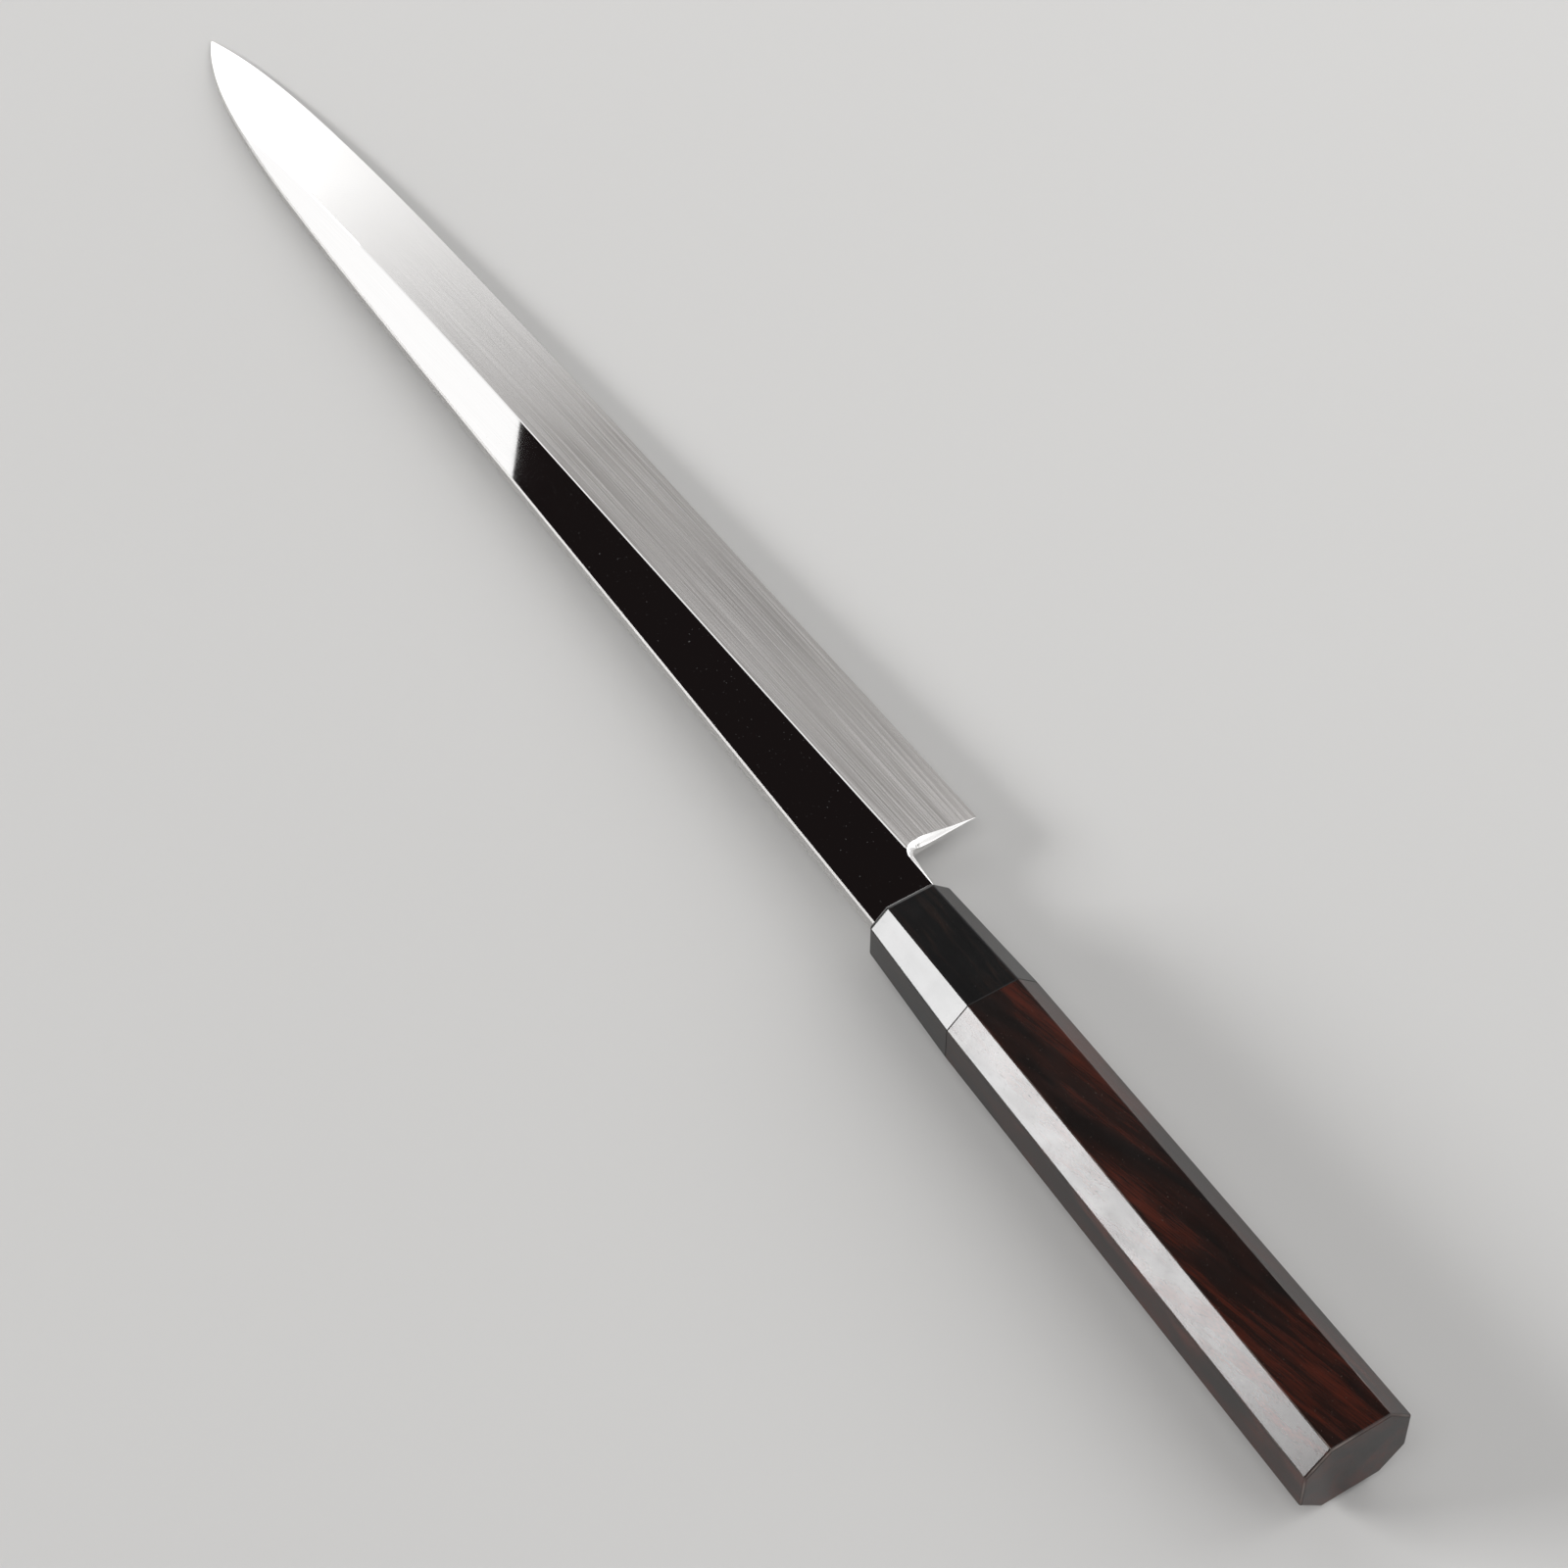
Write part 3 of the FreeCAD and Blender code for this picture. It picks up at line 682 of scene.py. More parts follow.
@dataclass(frozen=True)
class Rosewood:
    """Dark rosewood, oiled and buffed: near-black figure with red-brown streaks and open pores.

    Sizes of marks are in millimetres and the relief is in metres. A range is the part of the warmth over
    which its colour comes in, and warmth is figure times the gains of streaks and fibres.
    """

    black: Colour = (0.0075, 0.0048, 0.0042, 1)
    brown: Colour = (0.021, 0.0076, 0.0055, 1)
    red: Colour = (0.062, 0.0125, 0.0066, 1)
    dust: Colour = (0.16, 0.13, 0.11, 1)
    # Lighter colour where the wear mask is: wear, and a painted highlight on arrises and butt edge
    worn_and_highlight: Colour = (0.24, 0.2, 0.18, 1)
    streak_gain: tuple[float, float] = (0.3, 1.0)
    fibre_gain: tuple[float, float] = (0.55, 1.35)
    brown_range: tuple[float, float] = (0.05, 0.4)
    red_range: tuple[float, float] = (0.35, 0.95)
    fibre_height: float = 0.35
    pore_depth: float = 0.5
    pore_share: float = 0.75
    dust_share: float = 0.5
    worn_and_highlight_shares: tuple[float, float] = (0.15, 0.65)
    smudge_size: float = 8.0
    speck_size: float = 0.4
    roughness: tuple[float, float] = (0.2, 0.23)
    smudge_roughness: float = 0.025
    relief: float = 0.000006
    sheen: float = 0.42

    def material(self, effects: Effects) -> bpy.types.Material:
        """Builds the material.

        Args:
            effects: the shared effect groups.

        Returns:
            The finished material.
        """
        finish = Finish("dark_rosewood")
        shade = finish.shade
        grain = effects.grain.use(shade, {"Place": finish.place, "Figure": 1.0})
        marks = finish.marks(effects, self.smudge_size, self.speck_size)
        warm = shade.times(grain["Figure"], shade.spread(grain["Streaks"], 0.0, 1.0, *self.streak_gain))
        warm = shade.times(warm, shade.spread(grain["Fibres"], 0.3, 0.7, *self.fibre_gain))
        colour = shade.mix(shade.spread(warm, *self.brown_range), self.black, self.brown)
        colour = shade.mix(shade.spread(warm, *self.red_range), colour, self.red)
        colour = shade.mix(shade.times(grain["Pores"], self.pore_share), colour, self.black)
        colour = shade.mix(shade.times(marks["Specks"], self.dust_share), colour, self.dust)
        # Lighter on the arrises and the butt's edge: wear, and a painted highlight
        rubbed_and_highlight = shade.times(finish.wear_and_highlight(), shade.spread(marks["Smudge"], 0.0, 1.0, *self.worn_and_highlight_shares))
        colour = shade.mix(rubbed_and_highlight, colour, self.worn_and_highlight)
        rough = shade.plus(shade.spread(grain["Streaks"], 0.0, 1.0, *self.roughness),
                           shade.times(marks["Smudge"], self.smudge_roughness))
        height = shade.math("SUBTRACT", shade.times(grain["Fibres"], self.fibre_height),
                            shade.times(grain["Pores"], self.pore_depth))
        finish.set(Base_Color=colour, Roughness=rough, Normal=shade.bump(height, self.relief),
                   Specular_IOR_Level=self.sheen)
        return finish.material


@dataclass(frozen=True)
class PlainWood:
    """Pale, unfinished wood of the hidden dowel; relief in metres, figure as a scale of its grain."""

    pale: Colour = (0.52, 0.36, 0.2, 1)
    dark: Colour = (0.3, 0.18, 0.085, 1)
    figure: float = 1.6
    dark_range: tuple[float, float] = (0.1, 0.5)
    roughness: tuple[float, float] = (0.6, 0.75)
    relief: float = 0.00003

    def material(self, effects: Effects) -> bpy.types.Material:
        """Builds the material.

        Args:
            effects: the shared effect groups.

        Returns:
            The finished material.
        """
        finish = Finish("plain_wood")
        shade = finish.shade
        grain = effects.grain.use(shade, {"Place": finish.place, "Figure": self.figure})
        tone = shade.times(grain["Streaks"], grain["Fibres"])
        colour = shade.mix(shade.spread(tone, *self.dark_range), self.pale, self.dark)
        rough = shade.spread(grain["Fibres"], 0.2, 0.8, *self.roughness)
        finish.set(Base_Color=colour, Roughness=rough, Normal=shade.bump(grain["Fibres"], self.relief))
        return finish.material


@dataclass(frozen=True)
class Resin:
    """Set resin with small bubbles and clouding; sizes of both in millimetres, relief in metres."""

    name: str
    clear: Colour
    cloudy: Colour
    roughness: tuple[float, float] = (0.4, 0.55)
    cloud_size: float = 1.5
    bubble_size: float = 0.3
    relief: float = 0.00002

    def material(self, effects: Effects) -> bpy.types.Material:
        """Builds the material.

        Args:
            effects: the shared effect groups.

        Returns:
            The finished material.
        """
        finish = Finish(self.name)
        shade = finish.shade
        marks = finish.marks(effects, self.cloud_size, self.bubble_size)
        rough = shade.spread(marks["Smudge"], 0.0, 1.0, *self.roughness)
        finish.set(Base_Color=shade.mix(marks["Smudge"], self.clear, self.cloudy), Roughness=rough,
                   Normal=shade.bump(marks["Specks"], self.relief))
        return finish.material


@dataclass(frozen=True)
class Blade:
    """Single-bevel blade with neck and tang, in one piece of steel; millimetres, and angles in degrees.

    Along the blade, u starts at the ferrule's front. Y points to the spine and Z out of the bevelled face.
    """

    front: float = 148.0
    neck_rear: float = -2.5
    heel: float = 14.9
    reach: float = 310.2
    tip: float = 309.9
    pole_places: tuple[float, float] = (229.0, 284.6)
    edge_poles: tuple[float, ...] = (-27.3, -20.24, -17.36, -6.6)
    shinogi_poles: tuple[float, ...] = (-8.85, -0.55, -4.5, 16.6)
    run_on_share: float = 0.06
    spine_rear: float = 7.2
    spine_nose: float = 6.55
    nose_start: float = 174.2
    nose_lead: float = 83.8
    nose_pole: tuple[float, float] = (290.6, 6.0)
    back: float = -1.85
    flat_fall: float = 1.4
    land: float = 0.03
    spine_ease: float = 0.3
    spine_ease_share: float = 0.3
    spine_slope: float = 1.7
    shinogi_ease: float = 0.17
    shinogi_ease_share: float = 0.25
    neck_low: float = -8.2
    neck_ease: float = 0.45
    neck_ease_full: float = 8.0
    neck_slope: float = 0.35
    neck_step: float = 0.5
    choil_start: float = 5.0
    choil_radius: float = 3.6
    choil_ease: float = 1.4
    choil_bow: float = 4.3
    choil_slope: float = 0.8
    choil_depth_share: float = 0.75
    ease_angles: tuple[float, float] = (42.0, 66.0)
    hollow: float = 0.5
    hollow_start: float = 6.0
    hollow_full: float = 45.0
    hollow_narrows: float = 200.0
    hollow_end: float = 299.0
    hollow_least: float = 0.01
    spine_rim: float = 1.8
    edge_rim: float = 1.3
    tang_length: float = 92.0
    tang_root: tuple[float, float] = (4.3, 1.6)
    tang_end: tuple[float, float] = (2.5, 1.0)
    stations: int = 240
    crowding: float = 1.6
    columns: int = 30
    crease: float = 3.2

    def edge_curves(self, u: Array) -> tuple[Array, Array]:
        """Heights of the cutting edge and of the shinogi line.

        Both are cubic curves whose poles share their places along the blade, so one share of the curve
        gives both heights at the same u. Shares just below 0 carry them on behind the heel.

        Args:
            u: places along the blade.

        Returns:
            Y of the edge and Y of the shinogi line at those places.
        """
        along = (self.heel, *self.pole_places, self.reach)
        poles = np.stack([along, self.edge_poles, self.shinogi_poles], axis=-1)
        table = bezier(poles, np.linspace(-self.run_on_share, 1, CURVE_STEPS + 1))
        return np.interp(u, table[:, 0], table[:, 1]), np.interp(u, table[:, 0], table[:, 2])

    def spine(self, u: Array) -> Array:
        """Y of the spine: a straight line to the nose, and then a cubic curve down to the tip.

        Args:
            u: places along the blade.

        Returns:
            Y of the spine at those places.
        """
        slope = (self.spine_nose - self.spine_rear) / self.nose_start
        lead = [self.nose_start + self.nose_lead, self.spine_nose + self.nose_lead * slope]
        end = [self.reach, self.edge_poles[-1]]
        poles = np.array([[self.nose_start, self.spine_nose], lead, self.nose_pole, end])
        table = bezier(poles, np.linspace(0, 1, CURVE_STEPS + 1))
        nose = np.interp(u, table[:, 0], table[:, 1])
        return np.where(u < self.nose_start, self.spine_rear + slope * u, nose)

    def level(self, u: Array, y: Array) -> Array:
        """Z of the bevelled side: the lower of the flat face and the bevel.

        The flat face falls evenly towards the tip. The bevel is straight at each place, from the edge
        up to the flat face at the shinogi line.

        Args:
            u: places along the blade, one for each row.
            y: rows x columns, heights across the blade.

        Returns:
            Z at each of those points.
        """
        edge, shinogi = (curve[:, None] for curve in self.edge_curves(u))
        flat = (-self.back - self.flat_fall / self.reach * u)[:, None]
        foot = self.back + self.land
        return np.minimum(flat, foot + (y - edge) * (flat - foot) / (shinogi - edge))

    def hollow_level(self, u: Array, y: Array) -> Array:
        """Z of the back: a flat rim, and between the rims an arch 4q(1-q) deep that fades at both ends.

        Args:
            u: places along the blade, one for each row.
            y: rows x columns, heights across the blade.

        Returns:
            Z at each of those points.
        """
        edge, _ = self.edge_curves(u)
        high, low = self.spine(u) - self.spine_rim, edge + self.edge_rim
        closing = ramp(u, self.hollow_narrows, self.hollow_end)
        middle = (high + low) / 2
        high, low = high + (middle - high) * closing ** 2, low + (middle - low) * closing ** 2
        width = np.maximum(high - low, self.hollow_least)
        share = np.clip((y - low[:, None]) / width[:, None], 0, 1)
        deep = self.hollow * ramp(u, self.hollow_start, self.hollow_full) * (1 - closing ** 3)
        return self.back + deep[:, None] * 4 * share * (1 - share)

    def points(self, u: Array, y: Array, z: Array) -> Array:
        """Points in the knife's axes from places along the blade, heights across it and Z."""
        return np.stack([self.front + np.broadcast_to(u, y.shape), y, z], axis=-1)

    def spine_border(self, u: Array) -> tuple[Array, Array]:
        """Border of the spine, whose easing shrinks with the steel's thickness.

        Args:
            u: places along the blade.

        Returns:
            Y of the spine, and the size of its easing.
        """
        spine = self.spine(u)
        thick = self.level(u, spine[:, None])[:, 0] - self.back
        return spine, np.clip(self.spine_ease_share * thick, 0, self.spine_ease)

    def upper_points(self, u: Array, low: Array) -> Array:
        """Columns over spine, spine easing, flat face and shinogi, down to a low line.

        The shinogi is eased by a narrow flat between flat face and bevel. Where the shinogi line has run
        out over the spine, the flat face has no width.

        Args:
            u: places along the blade, one for each row.
            low: Y of the line where the columns end.

        Returns:
            Rows x columns x 3: spine, flat face, the shinogi and the bevel below it.
        """
        spine, ease = self.spine_border(u)
        _, shinogi = self.edge_curves(u)
        top = spine - ease
        line = np.clip(shinogi, low, top)
        soft = np.minimum(self.shinogi_ease, self.shinogi_ease_share * np.minimum(top - line, line - low))
        flat, bevel = between(top, line + soft, FLAT_COLUMNS - 1), between(line - soft, low, LOW_COLUMNS - 1)
        y = np.concatenate([between(spine, spine, SPINE_COLUMNS - 1), flat, line[:, None], bevel], axis=1)
        z = self.level(u, y)
        brow = z[:, SPINE_COLUMNS] - self.spine_slope * ease
        z[:, :SPINE_COLUMNS] = between(self.back + ease, brow, SPINE_COLUMNS - 1)
        ridge = SPINE_COLUMNS + FLAT_COLUMNS
        z[:, ridge] = (z[:, ridge - 1] + z[:, ridge + 1]) / 2
        return self.points(u[:, None], y, z)

    def back_points(self, u: Array, low: Array, slide: Array) -> Array:
        """Columns over the back from a low line up to the spine's lower easing.

        Args:
            u: places along the blade, one for each row.
            low: Y of the line where the columns start.
            slide: how far that line's points move towards the handle.

        Returns:
            Rows x columns x 3; the last column is the rim's upper border.
        """
        spine, ease = self.spine_border(u)
        top = spine - ease
        rim = np.maximum(np.minimum(spine - self.spine_rim, top), low)
        y = np.concatenate([between(low, rim, BACK_COLUMNS - 1), top[:, None]], axis=1)
        along = u[:, None] - slide[:, None] * np.append(np.linspace(1, 0, BACK_COLUMNS), 0.0)
        return self.points(along, y, self.hollow_level(u, y))

    def eased_side(self, rim: Array, outward: Array, depth: Array, foot: Array) -> Array:
        """Columns over the eased border of neck and choil, and down to the back.

        The easing is a part of an ellipse: at an angle p, from its start s to its end e, it has come out by
        (sin p - sin s) / (sin e - sin s) of its width and down by (cos s - cos p) / (cos s - cos e) of its
        depth.

        Args:
            rim: rows x 3, lower border of the bevelled side.
            outward: rows x 3, the easing's width as a vector out of the steel.
            depth: depth of the easing in each row.
            foot: rows x 3, border of the back.

        Returns:
            The columns between rim and foot, rows x columns x 3.
        """
        start, end = (math.radians(angle) for angle in self.ease_angles)
        turn = np.linspace(start, end, EASE_STEPS // 2 + 1)[1:]
        out = (np.sin(turn) - math.sin(start)) / (math.sin(end) - math.sin(start))
        down = (math.cos(start) - np.cos(turn)) / (math.cos(start) - math.cos(end))
        side = rim[:, None] + outward[:, None] * out[:, None]
        side[..., 2] -= depth[:, None] * down
        return np.concatenate([side, (side[:, -1:] + foot[:, None]) / 2], axis=1)

    def sheet(self, points: Array, finishes: Sequence[int]) -> Sheet:
        """A sheet whose chart runs along the blade and away from the edge.

        Args:
            points: rows x columns x 3.
            finishes: finish of each column of faces.

        Returns:
            The sheet.
        """
        u = points[..., 0] - self.front
        edge, _ = self.edge_curves(u)
        chart = np.stack([u, points[..., 1] - edge + points[..., 2]], axis=-1) / MM_PER_M
        return Sheet(points, np.array(finishes, int), chart, np.zeros(u.shape))

    @staticmethod
    def upper_finishes() -> list[Steel]:
        """Finishes of spine, flat face and shinogi easing, in the order of their columns."""
        return [Steel.SPINE] * SPINE_COLUMNS + [Steel.MIRROR] * (FLAT_COLUMNS + 1)

    def neck(self) -> Sheet:
        """The neck, straight and then round the choil's corner.

        Rows follow the low border of its flat face: a straight line, and then points at angles t of a
        quarter circle. The steel lies along (sin t, cos t) from it, and its eased side stands out the other
        way, steeper towards the corner.

        Returns:
            The sheet; its last row is the blade's first as far as the choil's corner.
        """
        straight = np.append(self.neck_rear, np.arange(0.0, self.heel - self.choil_radius, self.neck_step))
        corner = np.linspace(0, math.pi / 2, EASE_STEPS + 1)
        bend = np.concatenate([0 * straight, corner])
        u = np.concatenate([straight, self.heel - self.choil_radius * (1 - np.sin(corner))])
        low = self.neck_low - self.choil_radius * (1 - np.cos(bend))
        turned = ramp(u, self.choil_start, self.heel)
        ease = self.neck_ease * ramp(u, 0.0, self.neck_ease_full)
        ease = ease + (self.choil_ease - ease) * turned
        outward = np.stack([-ease * np.sin(bend), -ease * np.cos(bend), np.zeros(len(bend))], axis=-1)
        upper = self.upper_points(u, low)
        back = self.back_points(u, low + outward[:, 1], -outward[:, 0])
        depth = ease * (self.neck_slope + (self.choil_slope - self.neck_slope) * turned)
        side = self.eased_side(upper[:, -1], outward, depth, back[:, 0])
        finishes = self.upper_finishes() + [Steel.BEVEL] * (LOW_COLUMNS - 1)
        finishes += [Steel.POLISH] * (EASE_STEPS // 2 + 2)
        finishes += [Steel.HOLLOW] * (BACK_COLUMNS - 1) + [Steel.RIM, Steel.SPINE]
        return self.sheet(np.concatenate([upper, side, back, upper[:, :1]], axis=1), finishes)

    def levels(self, u: Array) -> tuple[Array, Array]:
        """Lines that carry the choil's corner on along the bevel and along the back.

        Each keeps its share of the way from the shinogi, or from the spine, to the edge.

        Args:
            u: places along the blade.

        Returns:
            Y of the line on the bevel and Y of the line on the back.
        """
        corner, heel = self.neck_low - self.choil_radius, np.array([self.heel])
        (edge, shinogi), spine = self.edge_curves(u), self.spine(u)
        (heel_edge, heel_line), heel_spine = self.edge_curves(heel), self.spine(heel)
        line = np.minimum(shinogi, spine)
        on_bevel = line + (edge - line) * (heel_line - corner) / (heel_line - heel_edge)
        return on_bevel, spine + (edge - spine) * (heel_spine - corner) / (heel_spine - heel_edge)

    def edge_points(self, u: Array) -> tuple[Array, Array]:
        """Columns next to the edge: down the bevel, and up the back over its rim.

        The first row is the heel's. At a share s of the way to the edge its bevel bows in by b s(1 - s)^4,
        and its back reaches out under the choil's easing, which fades to the edge.

        Args:
            u: places along the blade, one for each row.

        Returns:
            Rows x columns x 3 on the bevel and on the back, from and to the lines of the choil's corner.
        """
        edge, _ = self.edge_curves(u)
        on_bevel, on_back = self.levels(u)
        y = between(on_bevel, edge, self.columns - 1)
        bevel = self.points(u[:, None], y, self.level(u, y))
        share = np.linspace(0, 1, self.columns)
        bowed = self.heel + self.choil_bow * share * (1 - share) ** 4
        bevel[0] = self.points(bowed, y[0], self.level(bowed, y[0][:, None])[:, 0])
        rim = np.minimum(edge + self.edge_rim, on_back)
        y = np.concatenate([edge[:, None], between(rim, on_back, self.columns - 2)], axis=1)
        low_back = self.points(u[:, None], y, self.hollow_level(u, y))
        low_back[0, :, 0] -= self.choil_ease * share
        return bevel, low_back

    def long_blade(self) -> Sheet:
        """The blade from heel to tip: rings over spine, flat face, bevel, edge and back.

        The rings stand closer together towards the tip, at 1 - (1 - s)^c of the way for even shares s.

        Returns:
            The sheet; its last ring is one point.
        """
        share = np.linspace(0, 1, self.stations)
        u = self.heel + (self.tip - self.heel) * (1 - (1 - share) ** self.crowding)
        on_bevel, on_back = self.levels(u)
        upper = self.upper_points(u, on_bevel)
        back = self.back_points(u, on_back, np.where(share == 0, self.choil_ease, 0.0))
        bevel, low_back = self.edge_points(u)
        rings = [upper, bevel[:, 1:], low_back, back[:, 1:], upper[:, :1]]
        points = np.concatenate(rings, axis=1)
        points[-1] = points[-1].mean(axis=0)
        finishes = self.upper_finishes() + [Steel.BEVEL] * (self.columns + LOW_COLUMNS - 1) + [Steel.RIM]
        finishes += [Steel.HOLLOW] * (self.columns + BACK_COLUMNS - 3) + [Steel.RIM, Steel.SPINE]
        return self.sheet(points, finishes)

    def choil(self) -> Sheet:
        """The polished face of the heel, eased towards the bevel and as deep as slope and steel allow.

        Returns:
            The sheet; its borders are the blade's first ring next to the edge.
        """
        bevel, low_back = (part[0] for part in self.edge_points(np.array([self.heel])))
        foot = low_back[::-1]
        outward = (foot - bevel) * [1.0, 0.0, 0.0]
        deepest = self.choil_depth_share * (bevel - foot)[:, 2]
        depth = np.minimum(self.choil_slope * -outward[:, 0], deepest)
        side = self.eased_side(bevel, outward, depth, foot)
        side[-1] = bevel[-1]
        points = np.concatenate([bevel[:, None], side, foot[:, None]], axis=1)
        finishes = np.full(EASE_STEPS // 2 + 2, int(Steel.POLISH))
        return Sheet(points, finishes, points[..., 1:] / MM_PER_M, np.zeros(points.shape[:2]))

    def tang(self, neck: Sheet) -> Sheet:
        """The tang: the neck's rear ring shrunk to the tang's root, drawn out to its end, and closed.

        Args:
            neck: the neck's sheet, whose first row is that ring.

        Returns:
            The sheet.
        """
        ring = neck.points[0]
        middle = (ring.max(axis=0) + ring.min(axis=0)) / 2
        half = (ring.max(axis=0) - ring.min(axis=0)) / 2
        unit = (ring - middle) / np.where(half > 0, half, 1)
        root, end = np.array([0, *self.tang_root]), np.array([0, *self.tang_end])
        rear = ring[0, 0] - self.tang_length
        rows = [ring, unit * root + [ring[0, 0], 0, 0], unit * end + [rear, 0, 0], unit * 0 + [rear, 0, 0]]
        points = np.stack(rows)
        chart = points[..., :2] / MM_PER_M
        return Sheet(points, np.full(len(ring) - 1, int(Steel.TANG)), chart, np.zeros(points.shape[:2]))

    def build(self, lay: Lay) -> bpy.types.Object:
        """Builds the closed mesh of blade, neck and tang.

        Args:
            lay: where the knife's axes are in the frame.

        Returns:
            The piece.
        """
        neck = self.neck()
        sheets = [neck, self.long_blade(), self.choil(), self.tang(neck)]
        return build_piece("blade_steel", sheets, lay, math.radians(self.crease))

    @staticmethod
    def materials(effects: Effects) -> list[bpy.types.Material]:
        """Builds the finishes of the ground faces.

        Args:
            effects: the shared effect groups.

        Returns:
            The materials in the order of the slots.
        """
        finishes = {
            Steel.MIRROR: GroundSteel(
                "mirror_polish", (0.81, 0.805, 0.8, 1), (0.84, 0.835, 0.83, 1), 0.012, 0.026,
                pitch=0.12, length=25.0, band=2.0, smudge=0.002, dust=0.12),
            # The bevel's colour turns lighter towards the tip: a painted highlight
            Steel.BEVEL: GroundSteel(
                "satin_bevel", (0.258, 0.246, 0.237, 1), (0.475, 0.46, 0.45, 1), 0.24, 0.34,
                pitch=0.2, length=55.0, band=1.1, brushed=0.75, relief=0.000002, tip=(0.8, 0.793, 0.785, 1)),
            Steel.POLISH: GroundSteel(
                "polished_steel", (0.74, 0.73, 0.72, 1), (0.84, 0.835, 0.83, 1), 0.08, 0.16,
                pitch=0.2, length=30.0),
            Steel.HOLLOW: GroundSteel(
                "hollow_ground", (0.48, 0.47, 0.46, 1), (0.68, 0.67, 0.66, 1), 0.26, 0.38,
                pitch=0.35, length=45.0, band=2.0, brushed=0.7, relief=0.000005),
            Steel.RIM: GroundSteel(
                "flat_rim", (0.66, 0.655, 0.65, 1), (0.78, 0.775, 0.77, 1), 0.1, 0.18,
                pitch=0.15, length=20.0),
            Steel.TANG: GroundSteel(
                "forged_tang", (0.1, 0.095, 0.09, 1), (0.2, 0.19, 0.18, 1), 0.5, 0.7,
                pitch=1.2, length=8.0, relief=0.00003),
            Steel.SPINE: GroundSteel(
                "satin_spine", (0.6, 0.59, 0.58, 1), (0.76, 0.75, 0.74, 1), 0.24, 0.32,
                pitch=0.2, length=40.0),
        }
        return [finishes[steel].material(effects) for steel in Steel]


